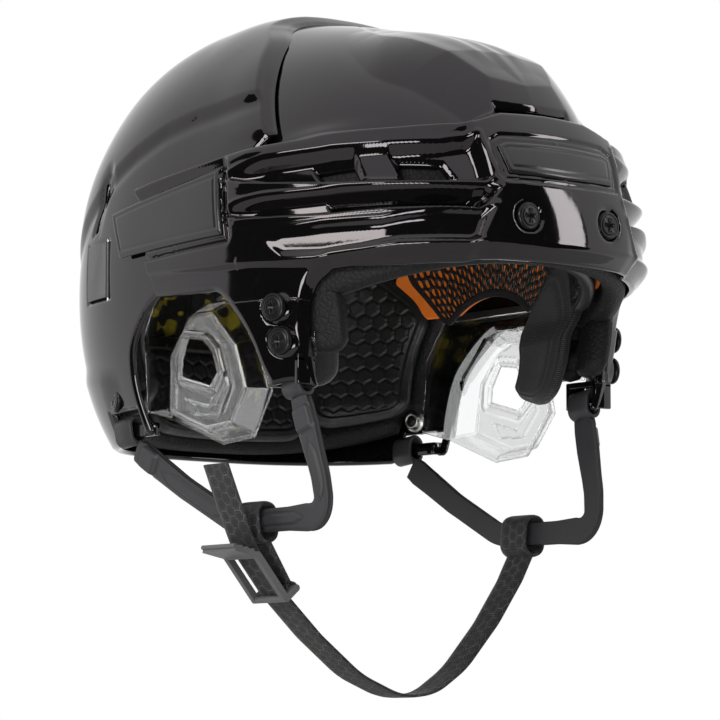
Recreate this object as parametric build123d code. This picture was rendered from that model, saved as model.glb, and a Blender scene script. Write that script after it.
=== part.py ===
from build123d import *
import math
import os

os.makedirs("parts", exist_ok=True)

# Ice hockey helmet. Millimetres. +Z is up, -Y is the face side, and the wearer's right is -X.
# The origin is the middle of the head, level with the lower edge of the brow.

# Shell form: a tilted super-ellipsoid with its own reach to the front, back, crown and chin.
half_width = 108.0
front_reach = 148.6
back_reach = 132.5
crown_reach = 121.5
lower_reach = 141.0
centre_back = 10.0
centre_rise = 5.0
pitch_angle = 12.0
front_plan_power = 2.45
back_plan_power = 2.76
rise_power = 2.25

# Outlines in the side view are shares of these two reaches.
side_length = 140.0
side_height = 125.0

# Walls and fits
shell_wall = 3.0
shell_gap = 1.2
seat_gap = 0.3
liner_wall = 10.0
rear_liner_wall = 12.0
insert_wall = 2.5
pad_wall = 6.0
pad_crown = 2.5
film_wall = 1.2
badge_wall = 1.2
overrun = 40.0
fit_tolerance = 0.04
patch_columns = 20
patch_rows = 28

# The pole of the surface grid lies in the ear opening, so that no wall covers it.
pole_back = 8.0
pole_drop = 42.0
across_limit = 80.0
around_start = -30.0
around_middle = 60.0
around_end = 222.0

# The brow and the wings stand outside the rear shell; the front crown runs under its lip.
crease_band_share = 0.045
seam_lip = 1.0

# The front crown runs back under the rear shell, lower than the rest, so that no slit opens.
underlap_drop = 2.8
underlap_front_share = 0.05
underlap_back_share = 0.13

# Size adjustment: the rear shell slides back on the front shell, from the smallest size to the largest.
slide_out = 8.0

# Side view outlines of the shells
seam_shares = [(0.14, 1.15), (0.07, 1.01), (0.015, 0.96), (-0.085, 0.885), (-0.175, 0.765), (-0.26, 0.62), (-0.345, 0.47)]
lip_shares = [(0.20, 1.15), (0.13, 1.01), (0.075, 0.96), (-0.025, 0.885), (-0.115, 0.765), (-0.20, 0.62), (-0.26, 0.50)]
wing_top_shares = [(-0.345, 0.47), (-0.26, 0.46), (-0.14, 0.435), (0.0, 0.39), (0.21, 0.335), (0.40, 0.28)]
wing_rear_shares = [(0.40, 0.28), (0.405, 0.22), (0.375, 0.10), (0.295, -0.06)]
wing_low_shares = [(0.295, -0.06), (0.12, -0.087), (-0.13, -0.095)]
ear_front_shares = [(-0.13, -0.095), (-0.28, -0.20), (-0.35, -0.36), (-0.38, -0.46)]
temple_low_shares = [(-0.38, -0.46), (-0.52, -0.435), (-0.54, -0.48)]
rim_shares = [(-0.54, -0.48), (-0.545, -0.35), (-0.56, -0.24), (-0.59, -0.15), (-0.63, -0.07), (-0.70, -0.045)]
brow_low_shares = [(-0.70, -0.045), (-0.84, -0.025), (-1.0, -0.018), (-1.4, -0.018)]
crease_shares = [(-0.345, 0.47), (-0.47, 0.43), (-0.71, 0.44), (-0.86, 0.46), (-1.0, 0.52), (-1.4, 0.60)]
tongue_shares = [(-0.345, 0.47), (-0.26, 0.36), (-0.16, 0.20), (-0.04, 0.0), (0.08, -0.12)]
ear_rear_shares = [(0.08, -0.12), (0.24, -0.19), (0.31, -0.28), (0.33, -0.40), (0.34, -0.54), (0.335, -0.60)]
nape_low_share = -0.60
beyond_share = 1.4

# Side vents, each as centre along, centre up, length and height in shares, and a slope in degrees
side_vent_shares = [(-0.475, 0.30, 0.26, 0.085), (-0.755, 0.315, 0.14, 0.085), (-0.53, 0.155, 0.38, 0.075)]
side_vent_slope = -5.0
rear_vent_shares = (0.505, 0.29, 0.035, 0.20)
rear_vent_slope = 24.0
top_vent_width = 44.0
top_vent_height = 5.0
top_vent_rise = 69.0
vent_round = 1.8

# Screws and nuts
screw_shank = 5.0
screw_head = 12.6
screw_head_height = 2.4
screw_recess = 1.6
driver_slot = 1.4
driver_length = 6.0
hole_clearance = 0.4
thread_clearance = 0.05
nut_flange = 11.0
nut_flange_height = 1.4
nut_barrel = 7.6
nut_height = 4.6
brow_screw_half_spacing = 23.7
brow_screw_rise = 14.6
temple_screw_shares = [(-0.432, -0.193), (-0.442, -0.313)]
temple_screw_turn = 14.0
temple_boss_length = 5.0
rear_screw_share = (0.50, -0.437)
rear_screw_turn = -18.0
boss_wall = 3.2

# Bare name plates
brow_badge_half_width = 37.0
brow_badge_low = 32.0
brow_badge_high = 50.0
side_badge_shares = [(0.40, 0.25), (-0.17, 0.33), (-0.22, 0.09), (0.34, 0.07)]

# Size lock: toothed strips on the front shell, levers on the rear shell
rack_shares = (-0.43, 0.55, -0.056, -0.012)
rack_wall = 2.4
rack_pad_share = -0.30
rack_room_share = 0.35
tooth_pitch = 4.0
tooth_depth = 1.0
tooth_shares = (0.30, 0.55)
lever_front = 62.0
lever_length = 24.0
lever_low = -8.0
lever_height = 26.0
lever_gap = 0.5
lever_pin = 1.4
lever_pin_bite = 3.0

# Clear ear guards: a tray with a flange, in side view shares, leaning with the head
guard_flange_half = 86.0
guard_lean = 4.3
guard_depth = 8.5
guard_wall = 1.8
guard_draft_share = 1.12
guard_inset_share = 0.94
guard_rim_share = 1.1
guard_centre_shares = (0.01, -0.38)
guard_face_shares = [
    (0.04, -0.118), (-0.066, -0.118), (-0.196, -0.269), (-0.248, -0.459), (-0.147, -0.612),
    (0.008, -0.626), (0.239, -0.528), (0.219, -0.287), (0.103, -0.145),
]
guard_hole_shares = [
    (0.089, -0.242), (0.0, -0.255), (-0.051, -0.306), (-0.071, -0.383), (-0.024, -0.43), (0.131, -0.383), (0.129, -0.323),
]
guard_flange_shares = [
    (-0.13, -0.06), (0.32, -0.06), (0.40, -0.20), (0.405, -0.49), (0.26, -0.53), (0.02, -0.50), (-0.25, -0.44),
]
guard_tab_shares = (-0.355, -0.18, -0.345, -0.25)

# Harness loops: moulded straps that hang from a bar inside the temple and one at the rear edge
anchor_half = 86.5
anchor_front = -57.0
anchor_drop = 56.0
anchor_rear = 70.0
anchor_fall = 13.5
harness_lean = 5.6
harness_wall = 3.4
harness_width = 12.0
harness_rib_width = 4.0
harness_rib_height = 0.8
hook_width = 13.0
eye_half_width = 2.9
eye_half_height = 5.2
eye_wall = 1.8
button_width = 11.0
button_height = 1.6
button_step_share = 0.75
bar_thickness = 3.0
bar_height = 6.0
front_bar = 4.0
lug_wall = 3.0
lug_gap = 1.0
strap_room = 3.0
harness_run = [(-1.0, 6.2), (-11.0, 42.0), (-13.0, 60.0), (52.0, 60.0), (88.0, 42.0), (121.5, 22.5)]
harness_rounds = [30.0, 9.0, 30.0, 60.0]

# Chin strap: webbing in a plane across the helmet
web_width = 18.0
web_wall = 1.6
strap_front = -20.0
near_eye = (4.2, 8.0)
far_eye = (5.0, 8.6)
web_hang = 0.7
strap_run = [
    (-103.5, -91.0), (-97.5, -105.0), (-91.5, -118.5), (-86.2, -129.6), (-70.0, -148.6), (-50.0, -166.5),
    (-26.0, -184.0), (0.0, -194.0), (19.0, -191.5), (37.0, -180.0), (57.0, -158.5), (72.0, -138.0), (79.0, -125.6),
]
strap_rounds = [60.0, 60.0, 20.0, 30.0, 60.0, 50.0, 40.0, 30.0, 50.0, 50.0, 20.0]
buckle_low = (-72.3, -150.5)
buckle_high = (-88.5, -131.5)
buckle_width = 24.0
buckle_bar = 3.2
buckle_rail = 2.6
anchor_bar_depth = 7.6
anchor_bar = 3.0
tab_end = (-101.5, -129.0)
tab_wall = 2.4
tab_rib = 1.0
tab_ribs = 4

# Liners and pads: the angles that each spans from the pole centre, across and around, in degrees
front_liner_span = ((-62.0, 62.0), (17.0, 86.0))
temple_liner_span = ((42.6, 59.0), (1.0, 16.4))
impact_insert_span = ((-38.0, 38.0), (22.0, 82.0))
forehead_pad_span = ((-40.0, 40.0), (19.0, 46.0))
crown_pad_span = ((-30.0, 30.0), (48.0, 84.0))
temple_pad_span = ((44.0, 55.0), (-1.0, 16.0))
slip_film_span = ((44.0, 60.0), (50.0, 84.0))
rear_liner_span = ((-58.0, 58.0), (97.0, 193.0))
rear_pad_span = ((27.0, 55.0), (140.0, 189.0))
nape_pad_span = ((-25.0, 25.0), (168.0, 192.0))


def tilted(y, z):
    """Coordinates of a side view point in the pitched frame of the shell."""
    turn = math.radians(pitch_angle)
    along = y - centre_back
    up = z - centre_rise
    return along * math.cos(turn) + up * math.sin(turn), up * math.cos(turn) - along * math.sin(turn)


def shell_level(x, y, z, grow):
    """Below one inside the surface that lies grow outside the shell form, above one outside it."""
    along, up = tilted(y, z)
    reach = (front_reach if along < 0 else back_reach) + grow
    height = (crown_reach if up > 0 else lower_reach) + grow
    power = front_plan_power if along < 0 else back_plan_power
    plan = abs(x / (half_width + grow)) ** power + abs(along / reach) ** power
    return plan ** (rise_power / power) + abs(up / height) ** rise_power


def surface_along(start, direction, grow):
    """Distance from an inside point to the surface, along a direction."""
    near = 0.0
    far = 2 * (front_reach + back_reach)
    for _ in range(40):
        middle = (near + far) / 2
        spot = start + direction * middle
        if shell_level(spot.X, spot.Y, spot.Z, grow) < 1:
            near = middle
        else:
            far = middle
    return near


def side_reach(y, z, grow):
    """Distance of the surface from the middle plane, at a place in the side view."""
    return surface_along(Vector(0, y, z), Vector(1, 0, 0), grow)


def front_place(x, z, grow):
    """Y of the front surface, at a place in the front view."""
    return -surface_along(Vector(x, 0, z), Vector(0, -1, 0), grow)


def surface_point(across, around, grow):
    """Point of the surface seen from the pole centre: across turns to a side, around over the crown."""
    lean = math.radians(across)
    turn = math.radians(around)
    direction = Vector(math.sin(lean), -math.cos(lean) * math.cos(turn), math.cos(lean) * math.sin(turn))
    centre = Vector(0, pole_back, -pole_drop)
    return centre + direction * surface_along(centre, direction, grow)


def surface_face(grow, across, around, columns, rows):
    """Smooth face through a grid of surface points; grow follows the place on the form."""
    grid = []
    for row in range(rows + 1):
        turn = around[0] + (around[1] - around[0]) * row / rows
        line = []
        for column in range(columns + 1):
            lean = across[0] + (across[1] - across[0]) * column / columns
            line.append(surface_point(lean, turn, grow(column / columns, row / rows)))
        grid.append(line)
    return Face.make_surface_from_array_of_points(grid, tol=fit_tolerance)


def sided(span, side):
    """Span of a piece of one side, turned to that side."""
    (near, far), around = span
    return ((near, far) if side > 0 else (-far, -near)), around


def thick_patch(low, high, across, around, columns=12, rows=12):
    """Closed solid between two skins of the form."""
    inner = surface_face(low, across, around, columns, rows)
    outer = surface_face(high, across, around, columns, rows)
    sides = []
    for edge in outer.edges():
        partner = min(inner.edges(), key=lambda other: (other.center() - edge.center()).length)
        sides.append(Face.make_surface_from_curves(edge, partner))
    solid = Solid(Shell([inner, outer] + sides))
    return solid if solid.volume > 0 else solid.fix()


def level(amount):
    """A skin at one distance from the form."""
    return lambda column, row: amount


def cushioned(depth, crown):
    """Inner skin of a pad: full in the middle and drawn in at its sides."""
    return lambda column, row: -depth - crown * (16 * column * (1 - column) * row * (1 - row)) ** 0.5


def rear_patch(inner, outer):
    """Rear half of the form, with all of the sides, between two constant distances."""
    around = (around_middle, around_end)
    return thick_patch(level(inner), level(outer), (-across_limit, across_limit), around, patch_columns, patch_rows)


def shell_patch(inner, outer):
    """Whole cap of the form between two constant distances."""
    around = (around_start, around_end)
    return thick_patch(level(inner), level(outer), (-across_limit, across_limit), around, patch_columns, patch_rows)


def side_points(shares):
    """Side view places from shares of the two reaches."""
    return [(y * side_length, z * side_height) for y, z in shares]


def run_edges(shares):
    """One smooth or straight run of an outline in the side view."""
    points = [Vector(0, y, z) for y, z in side_points(shares)]
    if len(points) == 2:
        return [Edge.make_line(points[0], points[1])]
    return [Edge.make_spline(points)]


def side_prism(*runs):
    """Bar across the whole helmet from joined runs of an outline in the side view."""
    edges = []
    for run in runs:
        edges += run_edges(run)
    face = Face(Wire(edges))
    return extrude(face, amount=half_width + overrun, dir=(1, 0, 0), both=True)


def side_polygon(shares):
    """Bar across the helmet from a straight sided outline in the side view."""
    points = [Vector(0, y, z) for y, z in side_points(shares)]
    face = Face(Wire.make_polygon(points, close=True))
    return extrude(face, amount=half_width + overrun, dir=(1, 0, 0), both=True)


def side_slot(along, up, length, height, slope):
    """Round ended slot cutter across the helmet, given in shares of the side view."""
    long_side = length * side_length
    short_side = height * side_height
    place = Plane(origin=(0, along * side_length, up * side_height), x_dir=(0, 1, 0), z_dir=(1, 0, 0))
    shape = place * Rot(0, 0, slope) * RectangleRounded(long_side, short_side, min(vent_round, short_side / 3))
    return extrude(shape, amount=half_width + overrun, both=True)


def side_box(low_y, high_y, low_z, high_z, side):
    """Box on one side of the middle plane."""
    box = Box(half_width + overrun, high_y - low_y, high_z - low_z, align=(Align.MIN, Align.MIN, Align.MIN))
    box = Pos(0, low_y, low_z) * box
    return box if side > 0 else mirror(box, about=Plane.YZ)


def side_seat(share, turn, side, grow, sink):
    """Frame of a side screw: origin under its head, Z outwards along its axis."""
    y = share[0] * side_length
    z = share[1] * side_height
    axis = Vector(side * math.cos(math.radians(turn)), -math.sin(math.radians(turn)), 0)
    origin = Vector(side * side_reach(y, z, grow), y, z) - axis * sink
    return Plane(origin=origin, x_dir=(0, 0, 1), z_dir=axis)


def brow_seats():
    """Frames of the two visor screws in the brow."""
    frames = []
    for side in (-1, 1):
        x = side * brow_screw_half_spacing
        y = front_place(x, brow_screw_rise, shell_wall + shell_gap) + screw_recess
        frames.append(Plane(origin=(x, y, brow_screw_rise), x_dir=(1, 0, 0), z_dir=(0, -1, 0)))
    return frames


def temple_seats():
    """Frames of the four cage screws in the temples."""
    frames = []
    for side in (-1, 1):
        for share in temple_screw_shares:
            frames.append(side_seat(share, temple_screw_turn, side, shell_wall + shell_gap, screw_recess))
    return frames


def rear_seats():
    """Frames of the two screws at the rear corners."""
    return [side_seat(rear_screw_share, rear_screw_turn, side, 0, screw_recess) for side in (-1, 1)]


def disc(plane, radius, low, high):
    """Cylinder along the Z of a frame, from low to high."""
    return plane * Pos(0, 0, low) * Cylinder(radius, high - low, align=(Align.CENTER, Align.CENTER, Align.MIN))


def screw(plane, grip):
    """Pan head screw with a cross recess; grip is the depth of what it clamps."""
    head = disc(plane, screw_head / 2, 0, screw_head_height)
    head = fillet(head.edges().sort_by(Axis(plane.origin, plane.z_dir))[-1], screw_head_height / 2)
    shank = disc(plane, screw_shank / 2, -grip - nut_height, 0)
    slots = [
        plane * Pos(0, 0, screw_head_height) * Box(driver_length, driver_slot, screw_head_height),
        plane * Pos(0, 0, screw_head_height) * Box(driver_slot, driver_length, screw_head_height),
    ]
    return head + shank - slots


def nut(plane, grip):
    """Flanged barrel nut behind what the screw clamps."""
    flange = disc(plane, nut_flange / 2, -grip - nut_flange_height, -grip)
    barrel = disc(plane, nut_barrel / 2, -grip - nut_height, -grip)
    bore = disc(plane, screw_shank / 2 + thread_clearance, -grip - 2 * nut_height, 0)
    return flange + barrel - bore


brow_grip = 2 * shell_wall
temple_grip = shell_wall + temple_boss_length
guard_grip = temple_grip + guard_wall
rear_grip = shell_wall + nut_flange_height


def boss(plane, grip):
    """Pad inside the wall that ends in a flat seat for the nut."""
    return disc(plane, nut_flange / 2 + boss_wall / 2, -grip, -screw_recess)


def bore(plane, grip):
    """Clearance hole and head recess for a screw."""
    hole = disc(plane, screw_shank / 2 + hole_clearance, -grip - overrun / 2, overrun / 2)
    return hole + disc(plane, screw_head / 2 + hole_clearance, 0, overrun / 4)


def harness_frame(side):
    """Frame of a harness loop: X runs back, Y down the loop and Z out of it."""
    lean = math.radians(harness_lean)
    origin = (side * anchor_half, anchor_front, -anchor_drop)
    if side < 0:
        return Plane(origin=origin, x_dir=(0, 1, 0), z_dir=(-math.cos(lean), 0, -math.sin(lean)))
    return Plane(origin=origin, x_dir=(0, 1, 0), z_dir=(-math.cos(lean), 0, math.sin(lean)))


def rear_anchor(side):
    """Middle of the rear bar, in the plane of the loop."""
    shift = anchor_fall * math.tan(math.radians(harness_lean))
    return Vector(side * (anchor_half - shift), anchor_rear, -anchor_drop - anchor_fall)


def front_anchor(side):
    """Middle of the front bar."""
    return Vector(side * anchor_half, anchor_front, -anchor_drop)


def loop_bar(side):
    """Middle of the lowest bar of a loop, where the webbing goes round it."""
    drop = harness_run[2][1]
    lean = math.radians(harness_lean)
    return Vector(side * (anchor_half - drop * math.sin(lean)), strap_front, -anchor_drop - drop * math.cos(lean))


def front_lug(side):
    """Bar and two ears inside the temple, which the front hook hangs from."""
    half = hook_width / 2 + lug_gap
    spot = front_anchor(side)
    wall = side_reach(spot.Y - half, spot.Z, shell_gap + shell_wall / 2)
    inner = abs(spot.X) - front_bar / 2
    roof = eye_half_height + eye_wall + lug_gap
    ears = []
    for end in (-1, 1):
        middle = spot.Y + end * (half + lug_wall / 2)
        ear = Box(wall - inner, lug_wall, roof + front_bar, align=(Align.MIN, Align.CENTER, Align.MIN))
        ears.append(Pos(inner, middle, spot.Z - front_bar / 2) * ear)
    beam = Box(wall - inner, 2 * (half + lug_wall), lug_wall, align=(Align.MIN, Align.CENTER, Align.MIN))
    ears.append(Pos(inner, spot.Y, spot.Z + roof) * beam)
    bar = Pos(abs(spot.X), spot.Y, spot.Z) * Rot(90, 0, 0) * Cylinder(front_bar / 2, 2 * half + lug_wall)
    lug = bar + ears
    return lug if side > 0 else mirror(lug, about=Plane.YZ)


def lowered(shares, step):
    """The same run, lower by a share of the side height."""
    return [(y, z - step) for y, z in shares]


def underlap():
    """Bar across the helmet where the front crown laps under the rear shell."""
    ahead = [(y - underlap_front_share, z) for y, z in seam_shares]
    behind = [(y + underlap_back_share, z) for y, z in seam_shares]
    return side_prism(ahead, [ahead[-1], behind[-1]], behind[::-1], [behind[0], ahead[0]])


def front_shell():
    """Outer shell: a low crown under the rear lip, a step at the crease, and the high brow and wings."""
    high = shell_wall + shell_gap
    top = [seam_shares[0], (-beyond_share, beyond_share)]
    front = [(-beyond_share, beyond_share), crease_shares[-1]]
    crown = shell_patch(-high - shell_wall, -high) & side_prism(seam_shares[::-1], top, front, crease_shares[::-1])
    band_low = lowered(crease_shares, crease_band_share)
    ends = [[crease_shares[-1], band_low[-1]], [band_low[0], crease_shares[0]]]
    band = shell_patch(-high - shell_wall, high) & side_prism(crease_shares, ends[0], band_low[::-1], ends[1])
    front = [crease_shares[-1], brow_low_shares[-1]]
    brow = shell_patch(high - shell_wall, high) & side_prism(
        crease_shares, front, brow_low_shares[::-1], rim_shares[::-1], temple_low_shares[::-1],
        ear_front_shares[::-1], wing_low_shares[::-1], wing_rear_shares[::-1], wing_top_shares[::-1],
    )
    lap = shell_patch(-high - underlap_drop - shell_wall, -high - underlap_drop) & underlap()
    shell = crown + lap + band + brow
    cuts = [side_slot(*shares, side_vent_slope) for shares in side_vent_shares]
    depth = front_reach + overrun
    opening = Pos(0, -depth / 2 - overrun, top_vent_rise) * Box(top_vent_width, depth, top_vent_height)
    shell = shell - cuts - opening
    for plane in brow_seats():
        shell = shell + boss(plane, brow_grip) - bore(plane, brow_grip)
    for plane in temple_seats():
        shell = shell + boss(plane, temple_grip) - bore(plane, temple_grip)
    for side in (-1, 1):
        shell = shell + front_lug(side)
    return shell


def window_ends(side):
    """Front and back of the window of the rear hook: room for the hook over the slide, and for its strap."""
    spot = rear_anchor(side)
    half = hook_width / 2 + lug_gap
    return spot.Y - slide_out - half - strap_room, spot.Y + half


def rear_bar(side):
    """Straight bar across the window at the rear corner, which the rear hook hangs from, and its two ends."""
    spot = rear_anchor(side)
    ahead, behind = window_ends(side)
    bar = Box(bar_thickness, behind - ahead + lug_wall, bar_height)
    pieces = [Pos(abs(spot.X), (ahead + behind) / 2, spot.Z) * bar]
    for y in (ahead - lug_wall / 2, behind + lug_wall / 2):
        wall = side_reach(y, spot.Z, -shell_wall / 2)
        low = min(wall - shell_wall / 4, abs(spot.X) - bar_thickness / 2)
        high = max(wall + shell_wall / 4, abs(spot.X) + bar_thickness / 2)
        block = Box(high - low, lug_wall, bar_height, align=(Align.MIN, Align.CENTER, Align.CENTER))
        pieces.append(Pos(low, y, spot.Z) * block)
    bar = pieces[0] + pieces[1:]
    return bar if side > 0 else mirror(bar, about=Plane.YZ)


def rear_window(side):
    """Cut at the rear corner that lets the hook pass round its bar."""
    spot = rear_anchor(side)
    ahead, behind = window_ends(side)
    top = spot.Z + eye_half_height + eye_wall + 2 * lug_gap
    low = nape_low_share * side_height - overrun
    sill = spot.Z - bar_height / 2 - lug_gap / 2
    return side_box(ahead, behind, low, top, side) + side_box(pole_back, behind, low, sill, side)


def lever_box(side, gap):
    """Outline of a lock lever, or of its window with a gap all round."""
    low = lever_low - gap
    high = lever_low + lever_height + gap
    return side_box(lever_front - gap, lever_front + lever_length + gap, low, high, side)


def lever_hinge(side):
    """Frame of the lever pin: origin at the lower end of the lever, in the middle of the wall."""
    y = lever_front + shell_wall / 2
    x = side_reach(y, lever_low + lever_height / 2, -shell_wall / 2)
    return Plane(origin=(side * x, y, lever_low), x_dir=(0, 1, 0), z_dir=(0, 0, 1))


def rear_shell():
    """Sliding rear half: over the front crown at its lip, under the wings at its tongues."""
    top = [(beyond_share, beyond_share), seam_shares[0]]
    back = [(beyond_share, nape_low_share), (beyond_share, beyond_share)]
    nape = [ear_rear_shares[-1], (beyond_share, nape_low_share)]
    outline = side_prism(seam_shares, tongue_shares, ear_rear_shares, nape, back, top)
    shell = rear_patch(-shell_wall, 0) & outline
    lip_top = [lip_shares[0], seam_shares[0]]
    lip_low = [seam_shares[-1], lip_shares[-1]]
    lip = rear_patch(-shell_wall, seam_lip) & side_prism(seam_shares, lip_low, lip_shares[::-1], lip_top)
    shell = shell + lip
    shell = shell - side_slot(*rear_vent_shares, rear_vent_slope)
    for side in (-1, 1):
        hinge = lever_hinge(side)
        pin_hole = disc(hinge, lever_pin / 2 + thread_clearance, -lever_pin_bite, lever_height + lever_pin_bite)
        shell = shell - lever_box(side, lever_gap) - pin_hole - rear_window(side) + rear_bar(side)
    for plane in rear_seats():
        shell = shell - bore(plane, rear_grip)
    return shell


def lock_lever(side):
    """Cam lever in the window of the rear shell, round at its hinge end."""
    hinge = lever_hinge(side)
    plate = shell_patch(-shell_wall, 0) & lever_box(side, 0)
    trim = side_box(lever_front - overrun, lever_front + shell_wall / 2, lever_low - overrun, overrun, side)
    barrel = disc(hinge, shell_wall / 2, 0, lever_height)
    bore_hole = disc(hinge, lever_pin / 2 + thread_clearance, -overrun, lever_height + overrun)
    return plate - trim + barrel - bore_hole


def lever_pins():
    """Hinge pins of the two lock levers."""
    return [disc(lever_hinge(side), lever_pin / 2, -lever_pin_bite, lever_height + lever_pin_bite) for side in (-1, 1)]


def adjust_rack(side):
    """Toothed strip bonded inside the front shell, which runs back under the rear shell."""
    low_y, high_y, low_z, high_z = rack_shares
    outer = -shell_wall - 2 * seat_gap
    strip_box = side_box(low_y * side_length, high_y * side_length, low_z * side_height, high_z * side_height, side)
    strip = shell_patch(outer - rack_wall, outer) & strip_box
    pad_box = side_box(
        low_y * side_length, rack_pad_share * side_length, low_z * side_height, high_z * side_height, side
    )
    strip = strip + (shell_patch(outer - rack_wall, shell_gap - seat_gap) & pad_box)
    start = tooth_shares[0] * side_length
    count = int((tooth_shares[1] - tooth_shares[0]) * side_length / tooth_pitch)
    skin = shell_patch(outer - tooth_depth, outer + overrun / 10)
    notches = []
    for tooth in range(count):
        low = start + tooth * tooth_pitch
        notches.append(side_box(low, low + tooth_pitch / 2, -side_height, side_height, side))
    return strip - (skin & notches)


def cut_screws(solid, planes, grip):
    """Pockets in a liner round the nuts of some screws."""
    for plane in planes:
        solid = solid - disc(plane, nut_flange / 2 + boss_wall, -grip - nut_height - overrun / 8, overrun)
    return solid


front_depth = 2 * shell_wall + shell_gap + seat_gap
rear_depth = shell_wall + seat_gap


def front_liner():
    """Foam under the front shell, from the brow to the crown."""
    liner = thick_patch(level(-front_depth - liner_wall), level(-front_depth), *front_liner_span, 16, 12)
    liner = liner - (shell_patch(-front_depth - underlap_drop - shell_wall, overrun / 10) & underlap())
    liner = cut_screws(liner, brow_seats(), brow_grip)
    return cut_screws(liner, temple_seats(), guard_grip)


def temple_liner(side):
    """Foam inside a temple, with room for the screws, the guard tab and the front anchor."""
    span = sided(temple_liner_span, side)
    liner = thick_patch(level(-front_depth - liner_wall), level(-front_depth), *span, 6, 6)
    liner = cut_screws(liner, temple_seats(), guard_grip)
    gap = 2 * lug_gap
    front_y = temple_screw_shares[1][0] * side_length - nut_flange / 2 - 2 * gap
    low_z = guard_tab_shares[2] * side_height - gap
    high_z = guard_tab_shares[3] * side_height + gap
    return liner - side_box(front_y, side_length, low_z, high_z, side)


def impact_insert():
    """Elastic layer between the front foam and the printed pads."""
    depth = front_depth + liner_wall + seat_gap
    return thick_patch(level(-depth - insert_wall), level(-depth), *impact_insert_span)


def printed_pad(span):
    """Crowned pad of printed lattice inside the front foam."""
    depth = front_depth + liner_wall + insert_wall + 2 * seat_gap
    return thick_patch(cushioned(depth + pad_wall, pad_crown), level(-depth), *span)


def forehead_pad():
    """Printed pad behind the brow."""
    return printed_pad(forehead_pad_span)


def crown_pad():
    """Printed pad under the crown."""
    return printed_pad(crown_pad_span)


def temple_pad(side):
    """Fabric pad on the foam of a temple."""
    depth = front_depth + liner_wall + seat_gap
    span = sided(temple_pad_span, side)
    return thick_patch(cushioned(depth + pad_wall, pad_crown), level(-depth), *span)


def slip_film(side):
    """Thin yellow sheet inside the front foam, which reaches down behind the ear guard."""
    depth = front_depth + liner_wall + seat_gap
    return thick_patch(level(-depth - film_wall), level(-depth), *sided(slip_film_span, side))


def rear_liner():
    """Foam under the rear shell."""
    liner = thick_patch(level(-rear_depth - rear_liner_wall), level(-rear_depth), *rear_liner_span, 16, 16)
    liner = cut_screws(liner, rear_seats(), rear_grip)
    low_y, high_y, low_z, high_z = rack_shares
    rack_floor = rear_depth + rack_wall + 2 * seat_gap + slide_out * rack_room_share
    rack_room = shell_patch(-rack_floor, overrun / 10)
    for side in (-1, 1):
        far_y = high_y * side_length + lug_gap
        channel = side_box(
            low_y * side_length, far_y, low_z * side_height - lug_gap, high_z * side_height + lug_gap, side
        )
        hook = rear_anchor(side)
        roof = hook.Z + eye_half_height + eye_wall + 2 * lug_gap
        hook_room = side_box(pole_back, hook.Y + hook_width, -2 * side_height, roof, side)
        liner = liner - (rack_room & channel) - hook_room
    return liner


def rear_pad(side):
    """Fabric pad inside the rear foam, beside the middle."""
    depth = rear_depth + rear_liner_wall + seat_gap
    span = sided(rear_pad_span, side)
    return thick_patch(cushioned(depth + pad_wall, pad_crown), level(-depth), *span)


def nape_pad():
    """Pad behind the neck."""
    depth = rear_depth + rear_liner_wall + seat_gap
    return thick_patch(cushioned(depth + pad_wall, pad_crown), level(-depth), *nape_pad_span)


def brow_badge():
    """Bare plate on the brow."""
    low = shell_wall + shell_gap + seat_gap
    plate = shell_patch(low, low + badge_wall)
    width = 2 * brow_badge_half_width
    height = brow_badge_high - brow_badge_low
    box = Box(width, 2 * front_reach, height, align=(Align.CENTER, Align.MAX, Align.MIN))
    return plate & Pos(0, 0, brow_badge_low) * box


def side_badge(side):
    """Bare plate on a wing."""
    low = shell_wall + shell_gap + seat_gap
    plate = shell_patch(low, low + badge_wall) & side_polygon(side_badge_shares)
    return plate & side_box(-side_length, side_length, -side_height, side_height, side)


def guard_points(shares, scale):
    """Outline points of the guard, scaled about its centre."""
    middle_y = guard_centre_shares[0] * side_length
    middle_z = guard_centre_shares[1] * side_height
    points = []
    for y, z in side_points(shares):
        points.append((middle_y + (y - middle_y) * scale, middle_z + (z - middle_z) * scale))
    return points


def guard_face(shares, scale, distance, side):
    """Flat outline of the guard at a distance out from its flange."""
    points = [Vector(side * (guard_flange_half + distance), y, z) for y, z in guard_points(shares, scale)]
    return Face(Wire.make_polygon(points, close=True))


def guard_block(shares, scales, distances, side):
    """Block between two outlines of the guard, wide at the flange and narrow at the face."""
    low = guard_face(shares, scales[0], distances[0], side)
    high = guard_face(shares, scales[1], distances[1], side)
    return loft([low, high], ruled=True)


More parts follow.
